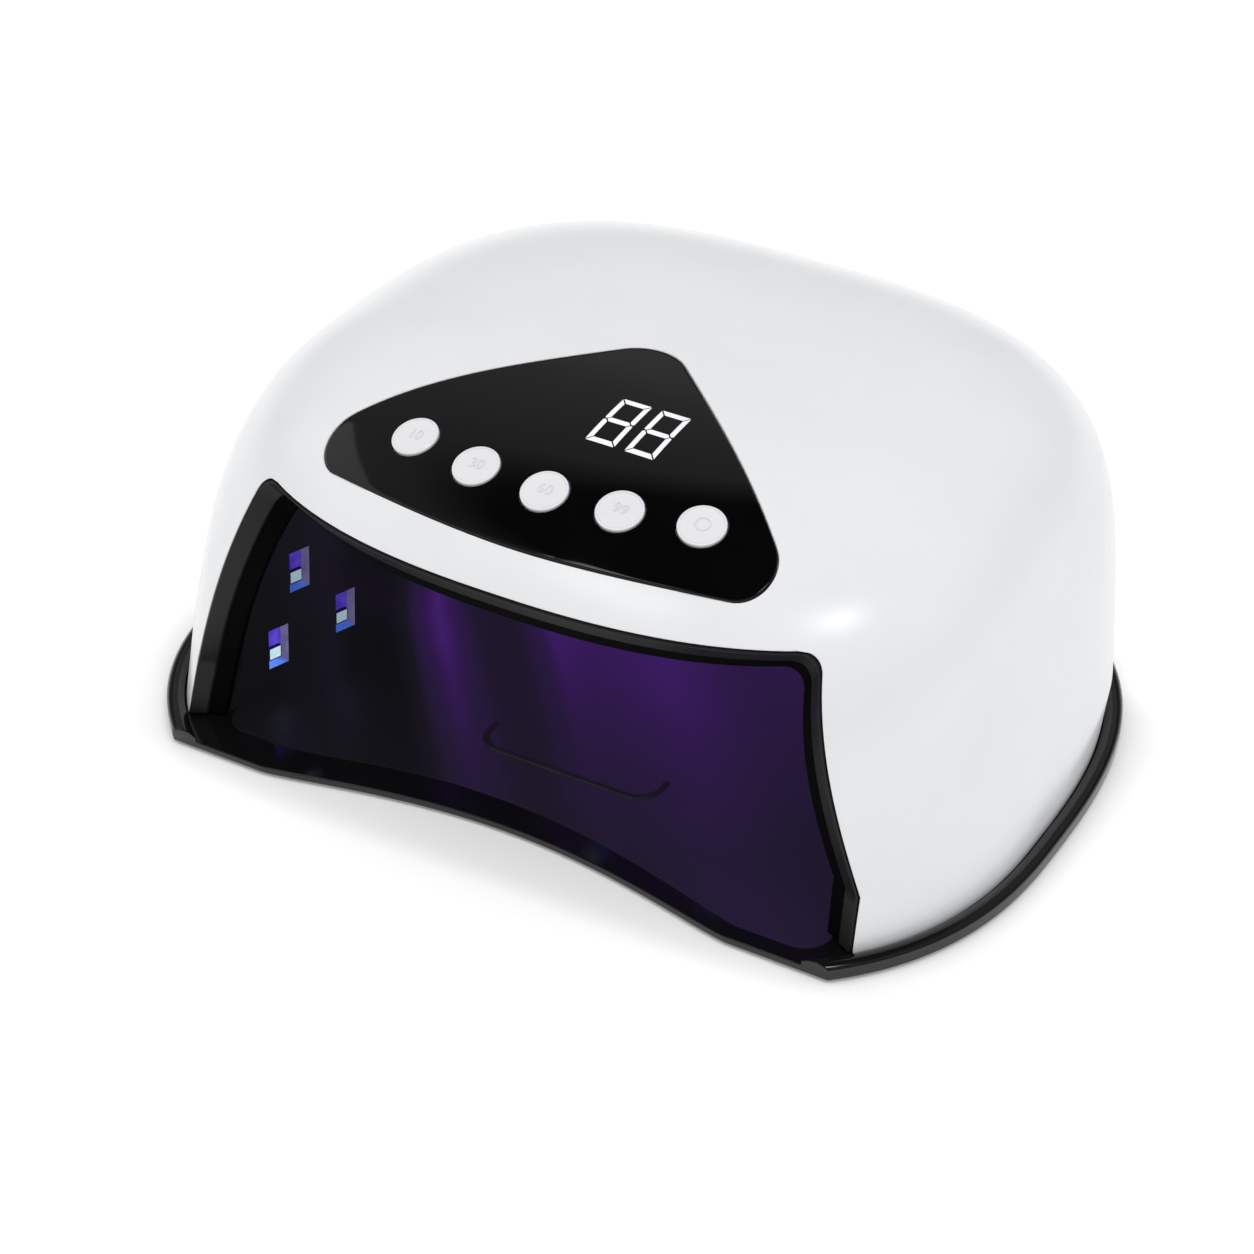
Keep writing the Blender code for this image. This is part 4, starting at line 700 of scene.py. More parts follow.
def make_finishes():
    """All materials of the lamp, each named for what it is."""
    made = {}
    # Polished white ABS: a cool clean white with a hard gloss and the faint waviness of the mould.
    made["gloss_white_abs"] = plastic("gloss_white_abs", "#EDEEF0", "#EFF0F2", (0.21, 0.25), 7, 0.0012, IOR=1.53)
    # Black ABS from an eroded mould: soft satin with a fine sparkle at its edges.
    made["satin_black_abs"] = plastic("satin_black_abs", "#19191A", "#1F1F20", (0.34, 0.42), 0.45, 0.004, IOR=1.53,
                                      Specular_IOR_Level=0.2)
    # Black ABS from a polished mould: crisp bright lines along the tray's bead and lip.
    made["polished_black_abs"] = plastic("polished_black_abs", "#0D0D0E", "#121213", (0.10, 0.13), 5, 0.0006, IOR=1.53)
    # Near black, dull and barely reflective: painted shade, so that the sunk gasket reads as a dark line in the recess
    # behind the bezel.
    made["gasket_painted_shade"] = plastic("gasket_painted_shade", "#050506", "#080809", (0.75, 0.85), 0.4, 0.003, IOR=1.42,
                                   Specular_IOR_Level=0.05)
    # Cast acrylic, black through and through: deep, sharp reflections.
    made["gloss_black_acrylic"] = plastic("gloss_black_acrylic", "#030304", "#050506", (0.05, 0.08), 9, 0.0006,
                                          IOR=1.49)
    # Pale ABS of the keys, with a clear rim; the times on them are a shade greyer.
    made["key_white_abs"] = plastic("key_white_abs", "#EAEAEC", "#EEEEF0", (0.16, 0.22), 0.8, 0.001, IOR=1.53)
    made["key_print"] = plastic("key_print", "#DEDEE1", "#E4E4E7", (0.3, 0.4), 0.5, 0.002, IOR=1.5)
    # Soft dull rubber.
    made["black_rubber"] = plastic("black_rubber", "#161616", "#1C1C1C", (0.75, 0.9), 0.4, 0.01, IOR=1.45)
    made["zinc_plated_steel"] = plated("zinc_plated_steel", "#9A9DA0", "#B4B6B8", 0.32)
    made["nickel_plated_magnet"] = plated("nickel_plated_magnet", "#A8A49C", "#BEB9B0", 0.22)
    # Painted light: the LEDs' violet light is painted as a glow on the boards and on the sides of their windows, weaker
    # deep in the chamber.
    made["white_circuit_board"] = lit("white_circuit_board", "#4A36B4", "#6446DC", 1.0, 4, 0.55, Roughness=0.4,
                                      Base_Color=linear("#1C1830"))
    made["green_circuit_board"] = plastic("green_circuit_board", "#0B4A26", "#10562D", (0.35, 0.45), 1.2, 0.01,
                                          IOR=1.5)
    made["switch_nylon"] = plastic("switch_nylon", "#141414", "#1A1A1A", (0.45, 0.55), 0.5, 0.004, IOR=1.53)
    # A window's head, sill and sides glow in three tones, painted light and shade: the sill brightest, as a painted
    # highlight, the head darkest.
    made["window_head"] = lit("window_head", "#2C1E7C", "#382890", 1.0, 4, 0.5, Roughness=0.3,
                              Base_Color=linear("#141024"))
    made["window_sill"] = lit("window_sill", "#4A72E0", "#5C86F0", 1.0, 4, 0.5, Roughness=0.3,
                              Base_Color=linear("#182040"))
    made["window_side"] = lit("window_side", "#625C8A", "#706A92", 1.0, 4, 0.6, Roughness=0.3,
                              Base_Color=linear("#26222E"))
    # LED: a dark blue case round a pale, almost white emitter.
    made["led_case"] = plastic("led_case", "#141A3A", "#1C2448", (0.25, 0.35), 0.5, 0.002, IOR=1.5)
    made["led_chip"] = lit("led_chip", "#BCDAE8", "#CAE4F0", 1.0, 1.5, 0.5, Roughness=0.2,
                           Base_Color=linear("#20262E"))
    # White light behind the panel's clear bars.
    made["digit_glow"] = lit("digit_glow", "#F4F6FA", "#FFFFFF", 1.0, 3, Roughness=0.4,
                             Base_Color=linear("#101010"))
    # Finger stop: near black, with a faint glow that is painted light.
    made["finger_stop_film"] = lit("finger_stop_film", "#0E0C12", "#131118", 1.0, 8, Roughness=0.45,
                                   Base_Color=linear("#0A090D"))
    # Chamber wall of glossy ABS and dark mirror film on the tray's plate, both with the LEDs' violet light painted on
    # as a glow.
    made["dark_chamber_abs"] = violet("dark_chamber_abs", IOR=1.53, Roughness=0.30, Base_Color=linear("#09090B"))
    made["dark_mirror_film"] = violet("dark_mirror_film", IOR=1.45, Roughness=0.40, Base_Color=linear("#070609"))
    return made


def violet(name, **sockets):
    """Dark surface with painted light: lanes of violet glow run out to the front and fade there, in place of the LEDs'
    light.
    """
    finish, shader, place = finish_base(name, Emission_Strength=1.0, **sockets)
    links = finish.node_tree.links
    aside = (math.cos(LANE_TURN), math.sin(LANE_TURN), 0)
    inwards = (-math.sin(LANE_TURN), math.cos(LANE_TURN), 0)
    across, along = [add_node(finish, "ShaderNodeVectorMath", {"operation": "DOT_PRODUCT", 1: way}, {0: place})
                     for way in (aside, inwards)]
    share = add_node(finish, "ShaderNodeMapRange", {"From Min": LANES[0][0], "From Max": LANES[-1][0]},
                     {"Value": across.outputs["Value"]})
    soft, sharp = [add_node(finish, "ShaderNodeValToRGB", {"stops": greys(row), "easing": "EASE"},
                            {"Fac": share.outputs["Result"]}) for row in (LANES_SOFT, LANES)]
    near = add_node(finish, "ShaderNodeMapRange", {"From Min": LANE_BLUR[0], "From Max": LANE_BLUR[1]},
                    {"Value": along.outputs["Value"]})
    lanes = add_node(finish, "ShaderNodeMix", {"data_type": "FLOAT"},
                     {0: near.outputs["Result"], 2: soft.outputs["Color"], 3: sharp.outputs["Color"]})
    (front, weak), (back, full) = LANE_FADE
    fade = add_node(finish, "ShaderNodeMapRange", {"From Min": front, "From Max": back, "To Min": weak,
                                                   "To Max": full}, {"Value": along.outputs["Value"]})
    cloud = add_node(finish, "ShaderNodeTexNoise", {"Scale": 1000 / 30, "Detail": 1.0}, {"Vector": place})
    patches = add_node(finish, "ShaderNodeMapRange", {"From Min": 0.3, "From Max": 0.7, "To Min": 0.92, "To Max": 1.0},
                       {"Value": cloud.outputs["Fac"]})
    spread = add_node(finish, "ShaderNodeMath", {"operation": "MULTIPLY"},
                      {0: lanes.outputs[0], 1: fade.outputs["Result"]})
    glow = add_node(finish, "ShaderNodeMath", {"operation": "MULTIPLY"},
                    {0: spread.outputs["Value"], 1: patches.outputs["Result"]})
    tone = add_node(finish, "ShaderNodeValToRGB",
                    {"stops": [(0.0, linear("#0B0B0C")), (0.10, linear("#0F0E12")), (0.21, linear("#16141D")),
                               (0.28, linear("#1C1629")), (0.50, linear("#26173B")), (0.65, linear("#2E1749")),
                               (0.87, linear("#391B5E")), (1.0, linear("#44246A"))]},
                    {"Fac": glow.outputs["Value"]})
    links.new(tone.outputs["Color"], shader.inputs["Emission Color"])
    return finish


FINISH = make_finishes()


# Housing

def even_turns(z_level):
    """Shares of the way round the back at which the shell's columns stand, evenly spaced there."""
    first = float(edge_angle(opening_side(0.0, BODY_Z)[-1][0], z_level))
    share = np.linspace(0, 1, 8000)
    x, y = shell_point(first + (math.pi - 2 * first) * share, z_level, 0.0)
    length = np.concatenate(([0], np.cumsum(np.hypot(np.diff(x), np.diff(y)))))
    return np.interp(np.linspace(0, length[-1], BACK_COLUMNS + 1), length, share)


def shell_skin(inset, shares):
    """Crown and side tables of one surface of the shell, at an inset from the outside."""
    side = opening_side(0.0, BODY_Z)[::-1]
    rows = []
    for x, z in side:
        first = float(edge_angle(x, z, inset))
        angle = first + (math.pi - 2 * first) * shares
        plan = shell_point(angle, np.full(angle.shape, z), inset)
        rows.append(np.column_stack((*plan, np.full(angle.shape, z))))
    rows = np.array(rows)
    top_x = np.linspace(-side[0][0], side[0][0], TOP_COLUMNS + 1)
    top_y = front_surface(top_x, np.full(top_x.shape, OPENING_Z), inset)
    top = np.column_stack((top_x, top_y, np.full(top_x.shape, OPENING_Z)))
    ring = np.vstack((rows[0], top[1:]))
    arms = ring[:, :2] - PANEL_MIDDLE
    directions = np.arctan2(arms[:, 1], arms[:, 0])
    grow = SEAT_GAP if inset == 0 else SEAT_GAP - PANEL_LEDGE
    near = np.array(PANEL_MIDDLE) + (panel_reach(directions) + grow)[:, None] * arms / np.hypot(*arms.T)[:, None]
    crown = np.empty((CROWN_ROWS + 1, len(ring), 3))
    share = (np.linspace(0, 1, 160) ** 0.6)[:, None]
    for column in range(len(ring)):
        plan = near[column] + (ring[column, :2] - near[column]) * share
        height = dome_height(plan[:, 0], plan[:, 1], inset)
        height[-1] = OPENING_Z
        line = np.column_stack((plan, height))
        length = np.concatenate(([0], np.cumsum(np.linalg.norm(np.diff(line, axis=0), axis=1))))
        marks = np.linspace(0, length[-1], CROWN_ROWS + 1)
        crown[:, column] = np.column_stack([np.interp(marks, length, line[:, k]) for k in range(3)])
    return crown, rows, top


def build_shell():
    """Moulded dome: outer and inner skins, joined round the panel's seat, the opening and the foot."""
    shares = even_turns(OPENING_Z)
    outer_crown, outer_rows, outer_top = shell_skin(0.0, shares)
    inner_crown, inner_rows, inner_top = shell_skin(SHELL_WALL, shares)
    seat = outer_crown[0].copy()
    seat[:, 2] = dome_height(seat[:, 0], seat[:, 1], PANEL_RECESS)
    ledge = inner_crown[0].copy()
    ledge[:, 2] = dome_height(ledge[:, 0], ledge[:, 1], PANEL_RECESS)
    parts = [sheet(outer_crown), sheet(outer_rows), sheet(inner_crown), sheet(inner_rows),
             sheet([outer_crown[0], seat, ledge, inner_crown[0]]), sheet([outer_top, inner_top]),
             sheet([outer_rows[-1], inner_rows[-1]]), sheet([outer_rows[:, 0], inner_rows[:, 0]]),
             sheet([outer_rows[:, -1], inner_rows[:, -1]])]
    shell = joined("shell_dome", parts)
    bore = turned("bore", [(0, -2 * SHELL_WALL), (JACK_BODY_DIAMETER / 2 + SEAT_GAP, -2 * SHELL_WALL),
                           (JACK_BODY_DIAMETER / 2 + SEAT_GAP, SHELL_WALL), (0, SHELL_WALL)], 48)
    cut(shell, put(bore, jack_place()))
    rounded_edges(shell, EDGE_ROUND)
    dress(shell, FINISH["gloss_white_abs"], "lamp", "gloss_white_abs", "top_shell")


def opening_frame(name, section):
    """Frame round the opening with a section of (inset, depth behind the shell's surface) corners."""
    bottom = BODY_Z + SEAT_GAP
    edge = opening_line(SEAT_GAP, bottom)
    face = front_surface(edge[:, 0], edge[:, 1])
    lanes = []
    for inset, depth in section:
        line = opening_line(inset, bottom)
        lanes.append(np.column_stack((line[:, 0], face + depth, line[:, 1])))
    return loft(name, np.stack(lanes, axis=1))


def build_bezel():
    """Frame round the opening, its face sloping back into the chamber to a sunk gasket coloured black as painted shade.
    """
    inner = SEAT_GAP + BEZEL_WIDTH
    slope = BEZEL_SLOPE * GASKET_INSET / inner
    bezel = opening_frame("bezel_frame", [(SEAT_GAP, -BEZEL_PROUD), (GASKET_INSET, slope),
                                          (GASKET_INSET, BEZEL_DEPTH), (SEAT_GAP, BEZEL_DEPTH)])
    rounded_edges(bezel, 0.0005, 3, 30)
    dress(bezel, FINISH["satin_black_abs"], "lamp", "satin_black_abs", "front_bezel")
    sunk = slope + GASKET_STEP
    # The sunk gasket is coloured near black: painted shade of the recess behind the face.
    gasket = opening_frame("bezel_gasket", [(GASKET_INSET - EDGE_ROUND, sunk), (GASKET_LIP, BEZEL_SLOPE + sunk / 2),
                                            (GASKET_LIP, BEZEL_DEPTH), (GASKET_INSET - EDGE_ROUND, BEZEL_DEPTH)])
    rounded_edges(gasket, 0.0003, 3, 30)
    dress(gasket, FINISH["gasket_painted_shade"], "lamp", "satin_black_abs", "front_bezel")


def window_tool(place):
    """Plug for one LED window, tapered on all sides but the sill."""
    low, high = -LINER_WALL - 0.002, 0.002
    draft = WINDOW_DRAFT / LINER_WALL
    bpy.ops.object.select_all(action="DESELECT")
    bpy.ops.mesh.primitive_cube_add(size=1)
    plug = bpy.context.object
    for finish in ("window_head", "window_sill", "window_side"):
        plug.data.materials.append(FINISH[finish])
    # Head, sill and sides take their own glows: painted light and shade.
    for face in plug.data.polygons:
        face.material_index = 2 if abs(face.normal.x) > 0.5 else int(face.normal.y < -0.5)
    for vertex in plug.data.vertices:
        z = low if vertex.co.z < 0 else high
        rise = (WINDOW_HEIGHT + draft * z) / 2 if vertex.co.y > 0 else -WINDOW_HEIGHT / 2
        vertex.co = (math.copysign((WINDOW_WIDTH + draft * z) / 2, vertex.co.x), rise, z)
    return put(plug, place)


def build_liner():
    """Chamber: swept side and rear walls under a flat roof, with LED windows; the flange that closes it is built apart.
    """
    opening = opening_side(SEAT_GAP, BODY_Z)
    mouth_at = front_surface(opening[:, 0], opening[:, 1]) + BEZEL_DEPTH + SEAT_GAP
    spring = LINER_ROOF_Z - LINER_ROOF_RADIUS
    levels = [(z, 0.0) for z in np.linspace(FLOOR_Z + WALL_CLEARANCE, spring, 24)]
    for turn in np.linspace(0, math.pi / 2, 11)[1:]:
        levels.append((spring + LINER_ROOF_RADIUS * math.sin(turn), LINER_ROOF_RADIUS * (1 - math.cos(turn))))
    rows = []
    for z, inset in levels:
        lean = LINER_LEAN * (min(z, spring) - CREASE_Z)
        mouth = float(np.interp(z + inset * 0.5, opening[:, 1], mouth_at))
        right = liner_side(-lean - inset, mouth)
        left = right[::-1] * (-1, 1)
        plan = np.vstack((right, left[1:]))
        rows.append(np.column_stack((plan, np.full(len(plan), z))))
    rows = np.array(rows)
    half = rows[-1][:rows.shape[1] // 2 + 1]
    across = np.linspace(1, -1, 61)
    roof = np.stack([np.column_stack((point[0] * across, np.full(61, point[1]), np.full(61, point[2])))
                     for point in half])
    lip = front_surface(roof[0, :, 0], np.full(61, OPENING_Z)) + BEZEL_DEPTH + SEAT_GAP
    roof[0, :, 1] += (lip - lip[0])
    liner = joined("chamber_liner", [sheet(rows), sheet(roof)])
    modify(liner, "SOLIDIFY", thickness=LINER_WALL, offset=1.0, use_even_offset=True)
    take(liner)
    liner.data.materials.append(FINISH["dark_chamber_abs"])
    windows = [wall_place(side, *spot) for side in (-1, 1) for spot in SIDE_WINDOWS]
    windows += [roof_place(x, y) for x, y in roof_spots()]
    cut(liner, joined("windows", [window_tool(place) for place in windows]))
    eye = turned("eye", [(0, -0.005), (SENSOR_DIAMETER / 2 + SEAT_GAP, -0.005),
                         (SENSOR_DIAMETER / 2 + SEAT_GAP, 0.002), (0, 0.002)], 48)
    eye.data.materials.append(FINISH["dark_chamber_abs"])
    cut(liner, put(eye, roof_place(0, FRONT_Y + SENSOR_SETBACK)))
    take(liner)
    bpy.ops.object.shade_smooth_by_angle(angle=math.radians(30))
    dress(liner, None, "lamp", "dark_chamber_abs", "inner_liner")


def build_flange():
    """Plate that closes the housing's underside round the chamber."""
    wall = liner_side(LINER_WALL * 0.98, LINER_Y, 24, 60)
    wall = np.vstack((wall, (wall[::-1] * (-1, 1))[1:]))
    inset = SHELL_INSET + SHELL_WALL + FLANGE_GAP
    angles = np.linspace(-math.pi / 2, 1.5 * math.pi, 4000)
    x, y = rim_point(angles, inset)
    keep = y > LINER_Y
    x, y = x[keep], y[keep]
    length = np.concatenate(([0], np.cumsum(np.hypot(np.diff(x), np.diff(y)))))
    marks = np.linspace(0, length[-1], len(wall))
    outer = np.column_stack((np.interp(marks, length, x), np.interp(marks, length, y)))
    rings = []
    for low in (BODY_Z, FLANGE_Z):
        rings.append(np.column_stack((wall, np.full(len(wall), low))))
        rings.append(np.column_stack((outer, np.full(len(outer), low))))
    flange = loft("liner_flange", np.stack((rings[0], rings[1], rings[3], rings[2]), axis=1))
    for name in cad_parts:
        if name.startswith(("magnet", "screw")):
            low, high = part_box(name)
            cut(flange, disc_seat(low, high, BODY_Z - 0.002, min(high[2] + SEAT_GAP, FLANGE_Z + 0.002)))
    rounded_edges(flange, 0.0003, 2, 40)
    dress(flange, FINISH["dark_chamber_abs"], "lamp", "dark_chamber_abs", "inner_liner")


def build_leds():
    """One dark chip with a pale emitter in its sloping edge, copied behind every window."""
    bpy.ops.object.select_all(action="DESELECT")
    bpy.ops.mesh.primitive_cube_add(size=1, scale=(LED_SIZE, LED_SIZE, LED_HEIGHT),
                                    location=(0, 0, LED_HEIGHT / 2))
    chip = bpy.context.object
    bpy.ops.object.transform_apply(location=True, rotation=True, scale=True)
    chip.data.materials.append(FINISH["led_case"])
    chip.data.materials.append(FINISH["led_chip"])
    edit(chip, "FACE")
    bpy.ops.mesh.select_all(action="DESELECT")
    leave_edit()
    for face in chip.data.polygons:
        face.select = face.normal.z > 0.5
    bpy.ops.object.mode_set(mode="EDIT")
    bpy.ops.mesh.inset(thickness=(LED_SIZE - LED_EMITTER) / 2, depth=-LED_HEIGHT / 6)
    chip.active_material_index = 1
    bpy.ops.object.material_slot_assign()
    leave_edit()
    rounded_edges(chip, 0.00008, 2, 40)
    spots = []
    for hand, side in (("left", -1), ("right", 1)):
        for i, (along, rise) in enumerate(SIDE_WINDOWS):
            spots.append((f"led_{hand}_{i + 1}", wall_place(side, along, rise - LED_DROP)))
    spots += [(f"led_roof_{i + 1}", roof_place(x, y)) for i, (x, y) in enumerate(roof_spots())]
    for node, place in spots:
        piece = put(copied(chip, f"chip_{node[4:]}"), place @ Matrix.Translation((0, 0, -LINER_WALL)))
        dress(piece, None, "lamp", "led_chip", node)
    bpy.data.objects.remove(chip)


def build_sensor():
    radius = SENSOR_DIAMETER / 2
    collar = radius + SENSOR_COLLAR
    seat = -LINER_WALL - SEAT_GAP
    base = seat - SENSOR_COLLAR_THICKNESS
    profile = [(0, base), (collar, base), (collar, seat), (radius, seat), (radius, -SENSOR_CROWN)]
    profile += [(radius * math.cos(t), -SENSOR_CROWN + SENSOR_CROWN * math.sin(t))
                for t in np.linspace(0, math.pi / 2, 10)[1:]]
    eye = put(turned("sensor_eye", profile, 64), roof_place(0, FRONT_Y + SENSOR_SETBACK))
    rounded_edges(eye, 0.00015, 2, 40)
    dress(eye, FINISH["gloss_black_acrylic"], "lamp", "gloss_black_acrylic", "hand_sensor")


# Controls

def build_panel():
    """Black front plate that follows the dome, with a hole for each key."""
    angles = np.linspace(-math.pi, math.pi, 361)
    reach = panel_reach(angles)
    shares = np.linspace(1, 0, 41)[:, None]
    x = PANEL_MIDDLE[0] + shares * reach * np.cos(angles)
    y = PANEL_MIDDLE[1] + shares * reach * np.sin(angles)
    top = np.dstack((x, y, dome_height(x, y)))
    low = np.dstack((x, y, dome_height(x, y, PANEL_THICKNESS)))
    panel = joined("panel_plate", [sheet(top), sheet(low), sheet([top[0], low[0]])])
    rounded_edges(panel, 0.0003, 3, 35)
    radius = BUTTON_DIAMETER / 2 + SLIDE_GAP
    bores = []
    for i in range(BUTTON_COUNT):
        bore = turned(f"bore_{i}", [(0, -0.004), (radius, -0.004), (radius, 0.002), (0, 0.002)], 72)
        bores.append(put(bore, button_place(i)))
    cut(panel, joined("bores", bores))
    take(panel)
    bpy.ops.object.shade_smooth_by_angle(angle=math.radians(35))
    dress(panel, FINISH["gloss_black_acrylic"], "lamp", "gloss_black_acrylic", "control_panel")


def drawn_in(corners, distance):
    """Convex outline, counter-clockwise, with every side moved inwards."""
    corners = [Vector(corner) for corner in corners]
    lines = []
    for here, after in zip(corners, corners[1:] + corners[:1]):
        along = (after - here).normalized()
        lines.append((here + Vector((-along.y, along.x)) * distance, along))
    result = []
    for (start, along), (other, ahead) in zip([lines[-1]] + lines, lines):
        gap = other - start
        result.append(start + along * (gap.cross(ahead) / along.cross(ahead)))
    return result


def bar(name, corners, axis):
    """Lit bar on a convex outline, laid on the panel along an axis (0 is X, 1 is Y)."""
    corners = [np.array(corner) for corner in drawn_in(corners, SEGMENT_GAP / 2)]
    marks = sorted(corner[axis] for corner in corners)
    stations = np.concatenate([np.linspace(a, b, 5)[:-1] for a, b in zip(marks, marks[1:])] + [marks[-1:]])
    edges = [[], []]
    for at in stations:
        crossings = []
        for here, after in zip(corners, corners[1:] + corners[:1]):
            share = (at - here[axis]) / (after[axis] - here[axis])
            if -1e-4 <= share <= 1 + 1e-4:
                crossings.append(here[1 - axis] + share * (after[1 - axis] - here[1 - axis]))
        for edge, aside in zip(edges, (min(crossings), max(crossings))):
            edge.append((at, aside) if axis == 0 else (aside, at))
    edges = np.array(edges)
    height = dome_height(edges[..., 0], edges[..., 1])
    low, high = [np.dstack((edges, height + lift)) for lift in (0.00001, 0.00006)]
    sides = [sheet(np.stack((low[k], high[k]))) for k in (0, 1)]
    ends = [sheet(np.stack((low[:, k], high[:, k]))) for k in (0, -1)]
    return joined(name, [sheet(high), sheet(low)] + sides + ends)


def build_digits():
    """Two lit digits that shine through the panel, all bars on, mitred into each other."""
    w, h, t, u = DIGIT_HALF_WIDTH, DIGIT_HALF_HEIGHT, SEGMENT_WIDTH, SEGMENT_HEIGHT
    upper_left = [(-w, h), (-w, u / 6), (-w + t / 2, 0), (-w + t, u / 2), (-w + t, h - u)]
    bars = {"top": (0, [(-w, h), (-w + t, h - u), (w - t, h - u), (w, h)]),
            "middle": (0, [(-w + t / 2, 0), (-w + t, -u / 2), (w - t, -u / 2), (w - t / 2, 0), (w - t, u / 2),
                           (-w + t, u / 2)]),
            "upper_left": (1, upper_left),
            "upper_right": (1, [(-x, y) for x, y in reversed(upper_left)])}
    for name in ("top", "upper_left", "upper_right"):
        axis, corners = bars[name]
        other = {"top": "bottom", "upper_left": "lower_left", "upper_right": "lower_right"}[name]
        bars[other] = (axis, [(x, -y) for x, y in reversed(corners)])
    for digit in range(2):
        middle = (DIGITS_X + digit * DIGIT_PITCH, DIGITS_Y)
        for name, (axis, corners) in bars.items():
            placed = [(x + middle[0], y + middle[1]) for x, y in corners]
            piece = bar(f"digit_{digit + 1}_{name}", placed, axis)
            dress(piece, FINISH["digit_glow"], "lamp", "led_chip")


def build_buttons():
    """Key with a fine raised rim round a shallow dish, turned once and copied to its five places."""
    radius = BUTTON_DIAMETER / 2
    rim, soft = BUTTON_PROUD, 0.00025
    dish = rim - KEY_DISH
    profile = [(0, -0.0048), (0.0025, -0.0048), (0.0025, -0.0045), (radius + 0.001, -0.0045),
               (radius + 0.001, -0.0037), (radius, -0.0037), (radius, rim - soft)]
    profile += [(radius - soft * (1 - math.cos(t)), rim - soft * (1 - math.sin(t)))
                for t in np.linspace(0, math.pi / 2, 7)[1:]]
    ring = radius - KEY_RIM
    profile += [(ring, rim), (ring - 0.0001, rim - KEY_GROOVE), (ring - 0.0002, rim - KEY_GROOVE),
                (ring - 0.00035, dish), (radius * 0.6, dish), (radius * 0.3, dish), (0, dish)]
    key = turned("key", profile, 96)
    take(key)
    bpy.ops.object.shade_smooth_by_angle(angle=math.radians(35))
    for i in range(BUTTON_COUNT):
        piece = put(copied(key, f"key_cap_{i + 1}"), button_place(i))
        dress(piece, FINISH["key_white_abs"], f"key_{i + 1}", "key_white_abs", f"button_{i + 1}")
    bpy.data.objects.remove(key)
    build_marks(dish)


def build_marks(level):
    """Faint raised times on four keys and a ring on the switch key."""
    for i, text in enumerate(("10", "30", "60", "99", None)):
        if text:
            bpy.ops.object.select_all(action="DESELECT")
            bpy.ops.object.text_add()
            mark = bpy.context.object
            mark.data.body, mark.data.size, mark.data.extrude = text, MARK_HEIGHT, MARK_RELIEF
            mark.data.align_x, mark.data.align_y = "CENTER", "CENTER"
            bpy.ops.object.convert(target="MESH")
            mark.name = mark.data.name = f"key_mark_{i + 1}"
            tidy(mark)
        else:
            outer, width = MARK_HEIGHT * 0.48, 0.00035
            mark = turned(f"key_mark_{i + 1}", [(outer - width, -MARK_RELIEF), (outer, -MARK_RELIEF),
                                                (outer, MARK_RELIEF), (outer - width, MARK_RELIEF),
                                                (outer - width, -MARK_RELIEF)], 64)
        put(mark, button_place(i) @ Matrix.Translation((0, 0.0004, level + MARK_RELIEF / 2)))
        dress(mark, FINISH["key_print"], f"key_{i + 1}", "key_white_abs", f"button_{i + 1}")


def build_jack():
    """Power inlet: collar outside the rear wall, bore with a centre pin."""
    collar, barrel = JACK_FLANGE_DIAMETER / 2, JACK_BODY_DIAMETER / 2
    bore, pin = JACK_BORE_DIAMETER / 2, JACK_PIN_DIAMETER / 2
    mouth = SEAT_GAP + JACK_FLANGE_THICKNESS
    floor, end = mouth - JACK_BORE_DEPTH, mouth - JACK_BODY_LENGTH
    tip = mouth - JACK_FLANGE_THICKNESS
    profile = [(0, end), (barrel, end), (barrel, SEAT_GAP), (collar, SEAT_GAP), (collar, mouth),
               (bore, mouth), (bore, floor), (pin, floor), (pin, tip), (0, tip)]
    jack = put(turned("power_inlet", profile, 72), jack_place())
    rounded_edges(jack, 0.00025, 3, 40)
    dress(jack, FINISH["satin_black_abs"], "lamp", "satin_black_abs", "dc_jack")


# Tray

def reflector_outline():
    """Plan of the tray's plate: it follows the scooped front and runs just under the chamber's walls."""
    walls = liner_side(PLATE_OVERLAP + LINER_LEAN * (CREASE_Z - FLOOR_Z), FRONT_Y, 1, 60)[1:]
    x = np.linspace(-SCOOP_HALF, SCOOP_HALF, 65)
    margin = REFLECTOR_MARGIN - PLATE_SKEW * np.clip((x - SKEW_START) / (SCOOP_HALF - SKEW_START), 0, 1)
    front = np.column_stack((x, front_edge(x) + margin))
    left, right = [(side * (walls[0][0] + (walls[0][1] - y) * math.tan(LINER_TAPER)), y)
                   for side, y in ((-1, front[0][1]), (1, front[-1][1]))]
    walls = np.vstack((walls, (walls[::-1] * (-1, 1))[1:]))
    corners = [*front, right, *walls, left]
    radii = [0] * len(front) + [REFLECTOR_CORNER] + [0] * len(walls) + [REFLECTOR_CORNER]
    return rounded(corners, radii)


def grown(outline, distance):
    """Move each point of a counter-clockwise outline outwards along its normal."""
    along = np.roll(outline, -1, axis=0) - np.roll(outline, 1, axis=0)
    along /= np.linalg.norm(along, axis=1)[:, None]
    return outline + np.column_stack((along[:, 1], -along[:, 0])) * distance


def disc_seat(low, high, bottom, top):
    """Round plug, a gap wider than the disc with the given box corners, to cut a seat for it."""
    radius = (high[0] - low[0]) / 2 + SEAT_GAP
    seat = turned("seat", [(0, bottom), (radius, bottom), (radius, top), (0, top)], 64)
    return put(seat, Matrix.Translation(((low[0] + high[0]) / 2, (low[1] + high[1]) / 2, 0)))


